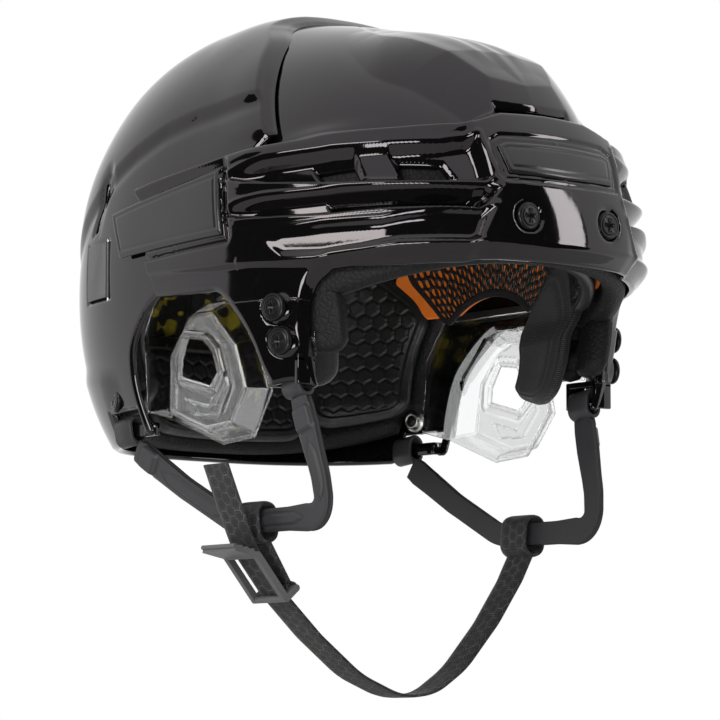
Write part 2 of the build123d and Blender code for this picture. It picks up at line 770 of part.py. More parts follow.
def guard_tab(side):
    """Strap of the guard that steps out under the lower temple screw."""
    seat = side_seat(temple_screw_shares[1], temple_screw_turn, side, shell_wall + shell_gap, screw_recess)
    low_z = guard_tab_shares[2] * side_height
    high_z = guard_tab_shares[3] * side_height
    step_y = guard_tab_shares[0] * side_length
    rise = high_z - low_z
    reach = (step_y - seat.origin.Y) / math.cos(math.radians(temple_screw_turn))
    width = reach + nut_flange / 2 + lug_gap
    middle = (reach - nut_flange / 2 - lug_gap) / 2
    plate = Box(rise, width, guard_wall, align=(Align.CENTER, Align.CENTER, Align.MAX))
    plate = seat * Pos((low_z + high_z) / 2 - seat.origin.Z, -side * middle, -temple_grip) * plate
    outer = abs(seat.origin.X) - temple_grip + reach * math.tan(math.radians(temple_screw_turn))
    step = Box(outer - guard_flange_half, guard_wall, rise, align=(Align.MIN, Align.MIN, Align.MIN))
    step = Pos(guard_flange_half, step_y, low_z) * step
    back_y = guard_tab_shares[1] * side_length
    strap = Box(guard_wall, back_y - step_y, rise, align=(Align.MIN, Align.MIN, Align.MIN))
    strap = Pos(guard_flange_half, step_y, low_z) * strap
    carrier = step + strap
    if side < 0:
        carrier = mirror(carrier, about=Plane.YZ)
    return plate + carrier - disc(seat, screw_shank / 2 + hole_clearance, -overrun, overrun)


def ear_guard(side):
    """Clear guard: flange, raised tray with a hearing hole, and a tab under the lower temple screw."""
    outer = guard_block(guard_face_shares, (guard_draft_share, 1), (0, guard_depth), side)
    inset = guard_inset_share
    inner = guard_block(
        guard_face_shares, (guard_draft_share * inset, inset), (-guard_wall, guard_depth - guard_wall), side
    )
    flange = guard_block(guard_flange_shares, (1, 1), (0, guard_wall), side)
    hole = guard_block(guard_hole_shares, (1, 1), (-overrun, overrun), side)
    rim = (guard_rim_share, guard_rim_share)
    collar = guard_block(guard_hole_shares, rim, (guard_depth - guard_wall, guard_depth + guard_wall / 2), side)
    guard = outer + flange - inner + collar - hole
    pivot = guard_centre_shares[1] * side_height
    place = Pos(side * guard_flange_half, 0, pivot)
    back = Pos(-side * guard_flange_half, 0, -pivot)
    guard = place * Rot(0, side * guard_lean, 0) * back * guard
    return guard + guard_tab(side)


def harness_eye(centre, slope, grow, width):
    """Round ended bar along the hinge line: the opening of a hook, or its outside with a wall grown on."""
    line = math.radians(slope)
    plane = Plane(origin=(centre[0], centre[1], 0), x_dir=(-math.sin(line), math.cos(line), 0),
                  z_dir=(math.cos(line), math.sin(line), 0))
    shape = SlotOverall(2 * (eye_half_height + grow), 2 * (eye_half_width + grow))
    return extrude(plane * shape, amount=width / 2, both=True)


def harness(side):
    """Moulded loop: two arms, a low bar, a raised rib, and a hook with its button at each end."""
    fall = anchor_fall / math.cos(math.radians(harness_lean))
    span = anchor_rear - anchor_front
    slope = math.degrees(math.atan2(fall, span))
    run = FilletPolyline(*harness_run, radius=harness_rounds)
    loop = extrude(trace(run, harness_width), amount=harness_wall / 2, both=True)
    rib = Pos(0, 0, harness_wall / 2) * extrude(trace(run, harness_rib_width), amount=harness_rib_height)
    body = loop + rib
    for centre, tip, ahead in (((0, 0), run @ 0, run % 0), ((span, fall), run @ 1, run % 1 * -1)):
        opening = harness_eye(centre, slope, 0, hook_width + overrun)
        ring = harness_eye(centre, slope, eye_wall, hook_width)
        body = body + ring - opening
        spot = tip + ahead * button_width * button_step_share
        turn = math.degrees(math.atan2(ahead.Y, ahead.X))
        button = Box(button_width, button_width, button_height, align=(Align.CENTER, Align.CENTER, Align.MIN))
        button = fillet(button.edges().filter_by(Axis.Z), button_height)
        body = body + Pos(spot.X, spot.Y, harness_wall / 2) * Rot(0, 0, turn) * button
    body = harness_frame(-1) * body
    return body if side < 0 else mirror(body, about=Plane.YZ)


def across_plane():
    """Plane of the webbing, across the helmet."""
    return Plane(origin=(0, strap_front, 0), x_dir=(1, 0, 0), z_dir=(0, -1, 0))


def webbing(shape, width):
    """Solid of a shape drawn in the plane of the webbing."""
    return extrude(across_plane() * shape, amount=width / 2, both=True)


def web_eye(side, eye):
    """Sewn loop of webbing hung on the low bar of a harness, the opening in it, and its lowest place."""
    lean = math.radians(harness_lean)
    down = Vector(-side * math.sin(lean), -math.cos(lean))
    bar = loop_bar(side)
    centre = Vector(bar.X, bar.Z) + down * web_hang
    place = Pos(centre.X, centre.Y) * Rot(0, 0, 90 - side * harness_lean)
    outer = place * SlotOverall(2 * (eye[1] + web_wall), 2 * (eye[0] + web_wall))
    inner = place * SlotOverall(2 * eye[1], 2 * eye[0])
    return webbing(outer, web_width), webbing(inner, 2 * web_width), centre + down * (eye[1] + web_wall / 2)


def chin_strap():
    """Webbing from its free tail, behind the buckle and under the chin, to its sewn loop at the left."""
    run = FilletPolyline(*strap_run, radius=strap_rounds)
    outer, inner, _ = web_eye(1, far_eye)
    return webbing(trace(run, web_wall), web_width) + outer - inner


def buckle_spots():
    """Middles of the top bar, the low bar and the anchor bar of the buckle."""
    low = Vector(*buckle_low)
    high = Vector(*buckle_high)
    along = (high - low).normalized()
    inward = Vector(along.Y, -along.X)
    return high, low, low + inward * anchor_bar_depth


def anchor_web():
    """Short webbing from the low bar of the right harness to the anchor bar of the buckle."""
    outer, inner, start = web_eye(-1, near_eye)
    anchor = buckle_spots()[2]
    inside = anchor_bar / 2 + seat_gap
    reach = (start - anchor).normalized() * (inside + web_wall / 2)
    leg = webbing(trace(Polyline(start, anchor + reach), 2 * web_wall), web_width)
    ring = webbing(Pos(anchor.X, anchor.Y) * Circle(inside + web_wall), web_width)
    hole = webbing(Pos(anchor.X, anchor.Y) * Circle(inside), 2 * web_width)
    return outer + leg + ring - inner - hole


def strap_buckle():
    """Buckle: two side rails, three bars and a ribbed thumb tab."""
    high, low, anchor = buckle_spots()
    rails = webbing(trace(Polyline(high, low), buckle_bar) + trace(Polyline(low, anchor), buckle_bar), buckle_width)
    rails = rails + webbing(Pos(high.X, high.Y) * Circle(buckle_bar / 2), buckle_width)
    rails = rails + webbing(Pos(anchor.X, anchor.Y) * Circle(buckle_bar / 2), buckle_width)
    clear = Pos(0, strap_front, 0) * Box(2 * half_width, buckle_width - 2 * buckle_rail, 4 * side_height)
    buckle = rails - clear
    for spot, size in ((high, buckle_bar), (low, buckle_bar), (anchor, anchor_bar)):
        buckle = buckle + webbing(Pos(spot.X, spot.Y) * Circle(size / 2), buckle_width)
    end = Vector(*tab_end)
    buckle = buckle + webbing(trace(Polyline(high, end), tab_wall), buckle_width)
    for rib in range(tab_ribs):
        spot = high + (end - high) * ((rib + 1) / tab_ribs)
        buckle = buckle + webbing(Pos(spot.X, spot.Y + tab_wall / 2) * Circle(tab_rib), buckle_width)
    return buckle


def screw_set(planes, grips):
    """Screws with their grips, as separate solids."""
    return [screw(plane, grip) for plane, grip in zip(planes, grips)]


def nut_set(planes, grips):
    """Nuts behind their grips, as separate solids."""
    return [nut(plane, grip) for plane, grip in zip(planes, grips)]


temple_grips = [temple_grip, guard_grip, temple_grip, guard_grip]

nodes = {
    "front_shell": front_shell,
    "rear_shell": rear_shell,
    "front_liner": front_liner,
    "rear_liner": rear_liner,
    "impact_insert": impact_insert,
    "forehead_pad": forehead_pad,
    "crown_pad": crown_pad,
    "nape_pad": nape_pad,
    "brow_badge": brow_badge,
    "lever_pins": lever_pins,
    "chin_strap": chin_strap,
    "anchor_web": anchor_web,
    "strap_buckle": strap_buckle,
    "brow_screws": lambda: screw_set(brow_seats(), [brow_grip] * 2),
    "brow_nuts": lambda: nut_set(brow_seats(), [brow_grip] * 2),
    "temple_screws": lambda: screw_set(temple_seats(), temple_grips),
    "temple_nuts": lambda: nut_set(temple_seats(), temple_grips),
    "rear_screws": lambda: screw_set(rear_seats(), [rear_grip] * 2),
    "rear_nuts": lambda: nut_set(rear_seats(), [rear_grip] * 2),
}

paired = {
    "temple_liner": temple_liner,
    "temple_pad": temple_pad,
    "rear_pad": rear_pad,
    "slip_film": slip_film,
    "side_badge": side_badge,
    "ear_guard": ear_guard,
    "adjust_rack": adjust_rack,
    "lock_lever": lock_lever,
    "harness": harness,
}

for name, build in nodes.items():
    shape = build()
    export_step(Compound(children=shape) if isinstance(shape, list) else shape, "parts/" + name + ".step")

for name, build in paired.items():
    export_step(build(-1), "parts/right_" + name + ".step")
    export_step(build(1), "parts/left_" + name + ".step")

strap_length = FilletPolyline(*strap_run, radius=strap_rounds).length
print("chin strap length", round(strap_length, 1))
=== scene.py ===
# %% [markdown]
# # An ice hockey helmet, built piece by piece
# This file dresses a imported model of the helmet. The model brings its bodies, joints and
# sizes, and each cell below makes one visible piece or one finish. Metres are Blender's
# unit here, but a helmet is easier to think about in millimetres, so shapes are worked
# out in millimetres and scaled once, when a mesh is made.

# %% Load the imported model
import bpy
import math
import numpy as np
from mathutils import Matrix, Vector


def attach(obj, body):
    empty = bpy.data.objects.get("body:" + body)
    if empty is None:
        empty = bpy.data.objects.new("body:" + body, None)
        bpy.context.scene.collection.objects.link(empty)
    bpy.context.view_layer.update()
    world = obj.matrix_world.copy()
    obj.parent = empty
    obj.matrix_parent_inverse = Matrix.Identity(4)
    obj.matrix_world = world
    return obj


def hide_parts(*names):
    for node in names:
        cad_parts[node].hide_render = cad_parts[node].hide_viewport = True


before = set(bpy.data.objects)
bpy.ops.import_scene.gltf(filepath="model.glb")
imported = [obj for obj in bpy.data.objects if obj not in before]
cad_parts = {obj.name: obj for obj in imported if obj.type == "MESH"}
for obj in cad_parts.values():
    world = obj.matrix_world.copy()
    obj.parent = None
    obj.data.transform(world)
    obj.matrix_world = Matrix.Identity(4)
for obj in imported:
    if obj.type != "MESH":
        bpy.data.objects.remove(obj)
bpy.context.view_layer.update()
MM = 0.001
SIDES = ((-1, "right"), (1, "left"))

# %% [markdown]
# ## Camera
# The helmet was photographed with a long lens from a little below the brow, to the
# wearer's right. The place below comes from fitting a pinhole camera to the outlines.
# A long lens keeps the far ear guard nearly as large as the near one.

# %% Place the camera
camera = bpy.data.objects.new("camera", bpy.data.cameras.new("camera"))
bpy.context.scene.collection.objects.link(camera)
camera.location = Vector((-1117.08, -1348.02, -223.31)) * MM
camera.rotation_euler = (math.radians(90 + 6.12), 0, math.radians(-39.56))
camera.data.sensor_width = 36
camera.data.lens = 187.5
camera.data.clip_end = 30
bpy.context.scene.camera = camera
print("camera stands", round(camera.location.length, 3), "m from the head's middle")

# %% [markdown]
# ## Shader sums
# Materials are graphs of nodes. Sums on sockets read better as Python, so one small
# class wraps a socket and overloads the operators, also with the number on the left.
# `node` makes any other node: settings first, then the values or links of its sockets.

# %% A socket that does arithmetic
class Wire:
    """An output socket; a key like _0 names an input by its place, any other by its name."""
    tree = None

    def __init__(self, socket):
        self.socket = socket

    @classmethod
    def node(cls, kind, out=0, settings=None, **sockets):
        made = cls.tree.nodes.new(kind)
        for name, value in (settings or {}).items():
            setattr(made, name, value)
        for name, value in sockets.items():
            name = int(name[1:]) if name[0] == "_" else name.replace("_", " ")
            cls.feed(made.inputs[name], value)
        return cls(made.outputs[out])

    @classmethod
    def feed(cls, socket, value):
        if isinstance(value, cls):
            cls.tree.links.new(value.socket, socket)
        else:
            socket.default_value = value

    def math(self, operation, *others):
        values = {"_" + str(n): v for n, v in enumerate((self,) + others)}
        return Wire.node("ShaderNodeMath", settings={"operation": operation}, **values)

    def __add__(self, other): return self.math("ADD", other)
    def __sub__(self, other): return self.math("SUBTRACT", other)
    def __mul__(self, other): return self.math("MULTIPLY", other)
    def __truediv__(self, other): return self.math("DIVIDE", other)
    def __radd__(self, other): return self + other
    def __rmul__(self, other): return self * other
    def __rsub__(self, other): return self * -1 + other
    def clip(self): return self.math("MAXIMUM", 0.0).math("MINIMUM", 1.0)
    def step(self, low, high): return ((self - low) / (high - low)).clip()


print("sockets can be added, subtracted, multiplied and divided")


# %% Make a material from a recipe
def material(name, recipe, **fixed):
    """A Principled material: fixed sockets are set, and the recipe's sockets are linked."""
    made = bpy.data.materials.new(name)
    made.use_nodes = True
    Wire.tree = made.node_tree
    shader = next(n for n in made.node_tree.nodes if n.type == "BSDF_PRINCIPLED")
    for key, value in fixed.items():
        shader.inputs[key.replace("_", " ")].default_value = value
    for key, value in (recipe() if recipe else {}).items():
        Wire.feed(shader.inputs[key.replace("_", " ")], value)
    return made


def place():
    """Where a point lies on the helmet, in metres."""
    return Wire.node("ShaderNodeTexCoord", out="Object")


def noise(size, detail=2.0, rough=0.5):
    """Cloudy noise whose blobs are about size metres wide."""
    return Wire.node("ShaderNodeTexNoise", Vector=place(), Scale=1 / size, Detail=detail, Roughness=rough)


def bump(height, distance, strength=1.0):
    return Wire.node("ShaderNodeBump", Height=height, Distance=distance, Strength=strength)


def mix(factor, a, b):
    return Wire.node("ShaderNodeMix", out=2, settings={"data_type": "RGBA"}, _0=factor, _6=a, _7=b)


def rgb(red, green, blue):
    return (red, green, blue, 1.0)


def grained(dark, light, grain, rough, relief=0.0001, strength=1.0, cloud=None, share=1.0):
    """A recipe: two shades mixed by a cloud and a grain, with the grain in gloss and relief."""
    def recipe():
        fine = noise(*grain)
        patch = noise(*cloud) if cloud else fine
        shade = patch if share == 1 else patch * share + fine * (1 - share)
        return {
            "Base_Color": mix(shade, rgb(*dark), rgb(*light)),
            "Roughness": fine * rough[0] + rough[1],
            "Normal": bump(fine, relief, strength),
        }
    return recipe


print("materials come from recipes")

# %% [markdown]
# ## The shell form
# Both shells are pressed over one form: a tilted super-ellipsoid. A ray from a point in
# the ear opening meets it once, so two angles name every place on it: `across` turns to
# a side and `around` runs over the crown. `grow` moves the skin in or out, which gives
# walls, steps, ribs and recesses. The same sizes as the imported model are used.

# %% The form, and rays onto it
HALF_WIDTH, FRONT_REACH, BACK_REACH = 108.0, 148.6, 132.5
CROWN_REACH, LOWER_REACH = 121.5, 141.0
CENTRE_BACK, CENTRE_RISE, PITCH = 10.0, 5.0, math.radians(12.0)
FRONT_POWER, BACK_POWER, RISE_POWER = 2.45, 2.76, 2.25
POLE = np.array([0.0, 8.0, -42.0])
BROW_LEVEL, SHELL_WALL = 4.2, 3.0
SECANT_START, SECANT_STEPS, RAY_LIMITS = (40.0, 170.0), 7, (5, 400)


def form_level(p, grow):
    """Below one inside the skin, above one outside it."""
    back, up = p[..., 1] - CENTRE_BACK, p[..., 2] - CENTRE_RISE
    along = back * math.cos(PITCH) + up * math.sin(PITCH)
    rise = up * math.cos(PITCH) - back * math.sin(PITCH)
    reach = np.where(along < 0, FRONT_REACH, BACK_REACH) + grow
    height = np.where(rise > 0, CROWN_REACH, LOWER_REACH) + grow
    power = np.where(along < 0, FRONT_POWER, BACK_POWER)
    plan = np.abs(p[..., 0] / (HALF_WIDTH + grow)) ** power + np.abs(along / reach) ** power
    return (plan ** (RISE_POWER / power) + np.abs(rise / height) ** RISE_POWER) ** (1 / RISE_POWER)


def ray_length(start, direction, grow):
    """How far a ray goes to the skin: a few secant steps on a nearly straight function."""
    def miss(length):
        return form_level(start + direction * length[..., None], grow) - 1

    near, far = (np.full(direction.shape[:-1], length) for length in SECANT_START)
    f_near, f_far = miss(near), miss(far)
    for _ in range(SECANT_STEPS):
        slope = np.where(np.abs(f_far - f_near) < 1e-12, 1e-12, f_far - f_near)
        new = far - f_far * (far - near) / slope
        near, f_near = far, f_far
        far = np.clip(new, *RAY_LIMITS)
        f_far = miss(far)
    return far


def skin(across, around, grow):
    """Points of the skin at two angles in degrees."""
    lean, turn = np.radians(across), np.radians(around)
    direction = np.stack([np.sin(lean), -np.cos(lean) * np.cos(turn), np.cos(lean) * np.sin(turn)], -1)
    return POLE + direction * ray_length(POLE, direction, grow)[..., None]


def side_x(y, z, grow):
    """Half width of the skin at a place in the side view."""
    start = np.stack([np.zeros(np.shape(y)), np.asarray(y, float), np.asarray(z, float)], -1)
    direction = np.broadcast_to(np.array([1.0, 0.0, 0.0]), start.shape)
    return ray_length(start, direction, grow)


print("half width at the ear:", round(float(side_x(0.0, 0.0, 0.0)), 1), "mm")

# %% [markdown]
# ## Distances steer every detail
# A recess, a groove or a cut is easiest to draw as an outline. The distance from the
# outline, negative inside it, then says how deep the wall is pressed and where it ends.
# Places on the brow are named by girth, which is the length round the shell from the
# middle of the forehead, and by height.

# %% Outlines, distances and soft steps
FAR_OFF = 1e9


def soft(t):
    t = np.clip(t, 0, 1)
    return t * t * (3 - 2 * t)


def ramp(low, high, value):
    """A soft step from nothing at low to one at high."""
    return soft((value - low) / (high - low))


def bell(distance, width):
    """One on a line, fading within about a width on both sides."""
    return np.exp(-((distance / width) ** 2))


def line_at(line, run):
    """Second value of a line of pairs where its first value is run."""
    return np.interp(run, *zip(*line))


def curve(points, count=8):
    """A smooth run through the points."""
    p = np.array(points, float)
    p = np.vstack([2 * p[0] - p[1], p, 2 * p[-1] - p[-2]])
    t = np.linspace(0, 1, count, endpoint=False)[:, None]
    runs = []
    for a, b, c, d in zip(p[:-3], p[1:-2], p[2:-1], p[3:]):
        square, cube = 2 * a - 5 * b + 4 * c - d, 3 * b - a - 3 * c + d
        runs.append(0.5 * (2 * b + (c - a) * t + square * t**2 + cube * t**3))
    return np.vstack(runs + [p[-2:-1]])


def line_distance(points, u, v):
    """Distance to an open line."""
    best = np.full(np.shape(u), FAR_OFF)
    for (ax, ay), (bx, by) in zip(points[:-1], points[1:]):
        dx, dy = bx - ax, by - ay
        t = np.clip(((u - ax) * dx + (v - ay) * dy) / (dx * dx + dy * dy + 1e-12), 0, 1)
        best = np.minimum(best, (u - ax - t * dx) ** 2 + (v - ay - t * dy) ** 2)
    return np.sqrt(best)


def inside_distance(points, u, v):
    """Signed distance to a closed outline: negative inside."""
    ring = list(points) + [points[0]]
    odd = np.zeros(np.shape(u), bool)
    for (ax, ay), (bx, by) in zip(ring[:-1], ring[1:]):
        if ay != by:
            crosses = ((ay > v) != (by > v)) & (u < (bx - ax) * (v - ay) / (by - ay) + ax)
            odd ^= crosses
    return np.where(odd, -1.0, 1.0) * line_distance(ring, u, v)


GIRTH_HEIGHT = 20.0
girth_turn = np.radians(np.arange(0, 181, 0.5))
girth_start = np.zeros((len(girth_turn), 3)) + (0.0, CENTRE_BACK, GIRTH_HEIGHT)
girth_ray = np.stack([np.sin(girth_turn), -np.cos(girth_turn), 0 * girth_turn], -1)
girth_spots = girth_start + girth_ray * ray_length(girth_start, girth_ray, BROW_LEVEL)[:, None]
girth_length = np.append(0, np.cumsum(np.linalg.norm(np.diff(girth_spots, axis=0), axis=1)))


def girth(p):
    """Length round the shell from the middle of the forehead to a point, the same on both sides."""
    return np.interp(np.arctan2(np.abs(p[..., 0]), CENTRE_BACK - p[..., 1]), girth_turn, girth_length)


print("girth of the form:", round(2 * girth_length[-1]), "mm")

# %% [markdown]
# ## From a sheet to a wall
# A shell starts as a fine grid of places on the form. Cells outside the outline are
# dropped, and the corners next to the cut slide onto it, so the cut is crisp. The sheet
# then gets an inner skin and a rounded rim between the two, as moulded plastic has.

# %% Cut a grid along an outline
def cut_grid(u, v, distance):
    """Slides grid corners onto the cut, and lists the cells that stay."""
    f = distance(u, v)
    best = np.full(f.shape, 0.5)
    du, dv = np.zeros(f.shape), np.zeros(f.shape)
    for axis, sign in ((0, 1), (0, -1), (1, 1), (1, -1)):
        other = np.roll(f, -sign, axis)
        ok = np.ones(f.shape, bool)
        edge = [slice(None), slice(None)]
        edge[axis] = -1 if sign > 0 else 0
        ok[tuple(edge)] = False
        t = np.where((f > 0) != (other > 0), f / np.where(f == other, 1, f - other), 9.0)
        take = ok & (t <= best)
        best = np.where(take, t, best)
        du = np.where(take, t * (np.roll(u, -sign, axis) - u), du)
        dv = np.where(take, t * (np.roll(v, -sign, axis) - v), dv)
    moved = (du != 0) | (dv != 0)
    f = np.where(moved, 0.0, f)
    return u + du, v + dv, f <= 1e-9


def faces_of(keep):
    """Quads of four kept corners and triangles of three, as indices into the grid."""
    rows, columns = keep.shape
    index = np.arange(rows * columns).reshape(rows, columns)
    corners = [index[:-1, :-1], index[:-1, 1:], index[1:, 1:], index[1:, :-1]]
    corners = np.stack(corners, -1).reshape(-1, 4)
    good = keep.ravel()[corners]
    quads = corners[good.all(1)]
    three = good.sum(1) == 3
    tris = corners[three][good[three]].reshape(-1, 3)
    return [tuple(q) for q in quads.tolist()] + [tuple(t) for t in tris.tolist()]


print("a grid can be cut along any outline")


# %% Close a sheet into a wall
def rim_edges(faces):
    """Edges used by one face, with their direction in it."""
    seen = {}
    for face in faces:
        for a, b in zip(face, face[1:] + face[:1]):
            if (b, a) in seen:
                del seen[(b, a)]
            else:
                seen[(a, b)] = True
    return list(seen)


def wall_from(outer, inner, faces, bulge=0.5, rings=3):
    """Closed wall: outer skin, inner skin and a rim that bulges by a share of half the wall."""
    edges = rim_edges(faces)
    count = len(outer)
    normal = np.zeros((count, 3))
    for a, b in edges:
        run = outer[b] - outer[a]
        normal[a] += run
        normal[b] += run
    out = outer - inner
    side = np.cross(normal, out)
    side /= np.linalg.norm(side, axis=1, keepdims=True) + 1e-12
    rim = sorted({i for edge in edges for i in edge})
    order = {vertex: n for n, vertex in enumerate(rim)}
    half = np.linalg.norm(out[rim], axis=1, keepdims=True) / 2
    verts = [outer, inner]
    for ring in range(1, rings + 1):
        turn = math.pi * ring / (rings + 1)
        middle = (outer[rim] + inner[rim]) / 2 + (outer[rim] - inner[rim]) / 2 * math.cos(turn)
        verts.append(middle + side[rim] * half * bulge * math.sin(turn))
    made = [tuple(f) for f in faces] + [tuple(i + count for i in f[::-1]) for f in faces]

    def spot(vertex, ring):
        if ring == 0:
            return vertex
        if ring == rings + 1:
            return vertex + count
        return 2 * count + (ring - 1) * len(rim) + order[vertex]

    for a, b in edges:
        for ring in range(rings + 1):
            made.append((spot(b, ring), spot(a, ring), spot(a, ring + 1), spot(b, ring + 1)))
    return np.vstack(verts), made


print("a sheet can be closed into a wall")


# %% Hand a mesh over as a piece
def piece(name, verts, faces, body, slot, finish, replaces=()):
    """A mesh in metres from places in millimetres, riding on its body."""
    verts = np.asarray(verts, float)
    used = np.zeros(len(verts), bool)
    for face in faces:
        used[list(face)] = True
    new = np.cumsum(used) - 1
    mesh = bpy.data.meshes.new(name)
    mesh.from_pydata((verts[used] * MM).tolist(), [], [tuple(int(new[i]) for i in f) for f in faces])
    mesh.validate()
    mesh.polygons.foreach_set("use_smooth", [True] * len(mesh.polygons))
    mesh.update()
    made = bpy.data.objects.new(name, mesh)
    bpy.context.scene.collection.objects.link(made)
    made.data.materials.append(finish)
    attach(made, body)
    if replaces:
        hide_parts(*replaces)
    print(name, len(mesh.vertices), "corners")
    return made


def grid(across, around, step):
    """Angles of a grid over the form."""
    a = np.linspace(*across, int((across[1] - across[0]) / step) + 1)
    b = np.linspace(*around, int((around[1] - around[0]) / step) + 1)
    return np.meshgrid(a, b)


def pressed_shell(name, across, around, step, cut, relief, inside, base, **rest):
    """A shell: a grid trimmed by cut, its outer skin at relief and its inner skin at inside."""
    u, v = grid(across, around, step)
    u, v, keep = cut_grid(u, v, lambda a, b: cut(skin(a, b, base)))
    places = skin(u, v, base)
    level = relief(places)
    outer = skin(u, v, level).reshape(-1, 3)
    inner = skin(u, v, inside(level)).reshape(-1, 3)
    verts, faces = wall_from(outer, inner, faces_of(keep))
    return piece(name, verts, faces, **rest)


STEP = 0.3
print("walls can be cut and closed; grid step", STEP, "degrees")

# %% [markdown]
# ## Glossy black shell plastic
# The shells are black, moulded and polished. Almost all that the eye sees on them is
# reflection, so the base stays near black, the gloss is sharp, and a very faint
# waviness, dust and fine scuffs keep it from looking like a computed mirror.

# %% Shell plastic
def shell_recipe():
    wave = noise(0.045, 1.0) * 0.00022 + noise(0.0022, 2.0) * 0.000006
    dust = noise(0.006, 6.0, 0.65).step(0.58, 0.74)
    scuff = noise(0.03, 3.0).step(0.5, 0.75)
    return {
        "Base_Color": mix(dust * 0.5, rgb(0.0030, 0.0028, 0.0031), rgb(0.009, 0.0086, 0.009)),
        "Roughness": scuff * 0.04 + dust * 0.05 + 0.045,
        "Normal": bump(wave, 1.0),
    }


shell_tint = rgb(1.0, 0.94, 0.99)
shell_plastic = material("polished black shell plastic", shell_recipe, IOR=1.52, Specular_Tint=shell_tint)
front_black = {"body": "helmet_front", "slot": "shell_black", "finish": shell_plastic}
rear_black = {"body": "helmet_rear", "slot": "shell_black", "finish": shell_plastic}
print("made", shell_plastic.name)

# %% [markdown]
# ## Front shell
# One moulding: a low crown that runs back under the rear shell, a step at the crease,
# and a brow that sweeps into two wings. A proud block in the middle of the brow carries
# a plate and two screws, and rises into a ridge on the crown. The sides of the brow are
# lower, with two rows of openings between ribs, and the free edge rolls inwards.

# %% Outline of the front shell in the side view
SEAM = [
    (-48.3, 58.8), (-36.4, 77.5), (-24.5, 95.6), (-11.9, 110.6), (2.1, 120), (9.8, 126.3), (19.6, 143.8),
]
LAP = [(y + 18.2, z) for y, z in SEAM]
WING_TOP = [(-48.3, 58.75), (-35.1, 55.6), (-19.6, 51.4), (0, 47.2), (29.4, 40.5), (58.5, 34.5)]
WING_REAR = [(58.5, 34.5), (57.6, 29.9), (53, 17), (48, 5), (40, -6.5)]
WING_LOW = [(40, -6.5), (29.4, -9.8), (12.9, -11.1), (-17.5, -12)]
EAR_FRONT = [
    (-17.5, -12), (-26, -12.5), (-33.3, -18), (-41.4, -27.6), (-46.8, -37.7), (-50.1, -48.9), (-53.2, -57.5),
]
TEMPLE_LOW = [(-53.2, -57.5), (-65, -56.5), (-73.5, -60)]
RIM = [(-73.5, -60), (-74.3, -43.8), (-75.8, -30.9), (-77.5, -20), (-81.5, -11), (-89, -5)]
BROW_LOW = [(-89, -5), (-98, -4.4), (-117.6, -3.9), (-140, -2.8), (-210, -2.6)]


def joined(*runs):
    return [tuple(p) for run in runs for p in curve(run)]


# Corners far outside the helmet only close an outline.
front_edge = joined(WING_TOP, WING_REAR, WING_LOW, EAR_FRONT, TEMPLE_LOW, RIM, BROW_LOW)
front_outline = joined(LAP[::-1])[:-2] + [(-30.5, 61.5), (-45.5, 61)] + front_edge
front_outline += [(-210, 170), (LAP[-1][0], 170)]
print("outline of", len(front_outline), "places")

# %% [markdown]
# The openings and the relief of the brow are outlines in girth and height. Outlines are
# read off the photograph through the camera, so each sits where it is seen.

# %% Lines of the front shell in girth and height
CREASE = [
    (0, 64), (28, 63), (37, 60.5), (43, 58.6), (51, 57.2), (61, 56.7), (80, 55.6),
    (100, 54.8), (120, 53.6), (142, 51.5), (166, 49), (192, 45.5), (240, 40),
]
UPPER_RECESS = [
    (43.5, 51.8), (62.5, 49), (81, 48.4), (100, 47.8), (115, 47.4), (130, 46), (151, 43.6), (166, 40.4),
    (178, 36.4), (164, 33.4), (150, 32.6), (129, 32.2), (109.5, 31.4), (82, 30.8), (64, 30.8), (40.5, 31.6),
]
LOWER_RECESS = [
    (42, 28.4), (60, 28.2), (82, 28.3), (109.5, 28.4), (129, 27.4), (150, 26), (166, 24), (178, 20.0),
    (166, 16.6), (150, 16.6), (134, 17), (116, 17.2), (100, 18), (82, 18.8), (65, 19.4), (46, 18.4),
    (37.5, 26),
]
VENTS = [
    [(81.5, 43.4), (60, 42.4), (54, 33), (80, 32.8)],
    [(124, 41.6), (102.5, 43), (98.5, 33), (117, 33)],
    [(116, 24.2), (50, 24), (46.8, 19.6), (82, 20), (100, 19.4), (111, 18.6)],
]
PANEL = [
    (152, 6.0), (140, 10.6), (119, 12.6), (100, 13), (91, 13.2), (80, 15), (65, 16.4),
    (40, 18), (46.5, 3.8), (65, 3.7), (82.6, 3.4), (100, 0.6), (119, -1.2), (139, -1),
]
LOW_BAND = [
    (0, 1.2), (20, 1.4), (47, 2.4), (65, 1.6), (82.6, -0.1), (100, -3.1), (119, -4.4), (139, -4), (163, -3),
]
LOW_FOLD = [(54, 1.5), (121, -3.6), (180, -3.2), (258, 0.2)]
STRUT = [(104, 50), (88, 50), (78, 28), (98.5, 28)]
BLOCK_SIDE = [(3, 46), (26, 36), (31.6, 37), (42, 40), (52, 44.5)]
PLATE = [(0, 51.6), (16, 51.3), (32.5, 50.6), (37.5, 48), (33.5, 31.8), (15.7, 31.6), (0, 31.2)]
SIDE_PLATE = [(55.0, 29.8), (-26.9, 43.2), (-33.4, 9.8), (46.5, 6.4)]
SIDE_PLATE_STEP = [(-29.8, 25.8), (55.0, 28.4)]
CROWN_RIDGE = [(0, 150), (98, 150), (86, 122), (76, 111), (58, 105), (38.5, 93), (24, 82), (0, 79.5)]
RIDGE_LIFT = [(-104, 8.2), (-92, 8.6), (-80, 7), (-65, 4.6), (-50, 1.8), (-34, 0)]
BROW_SCREW = (23.8, 14.6)
TEMPLE_SCREWS = [(-60.5, -24.1), (-61.9, -39.1)]
print(len(VENTS), "openings on each side, and one across the top")


# %% Openings and main levels of the front shell
CROWN_LOW, SEAM_DROP, SIDE_FALL = -4.2, 4.6, 2.9
TOP_SLOT_HALF, TOP_SLOT_RISE, TOP_SLOT_TALL = 22, 67.6, 2.3


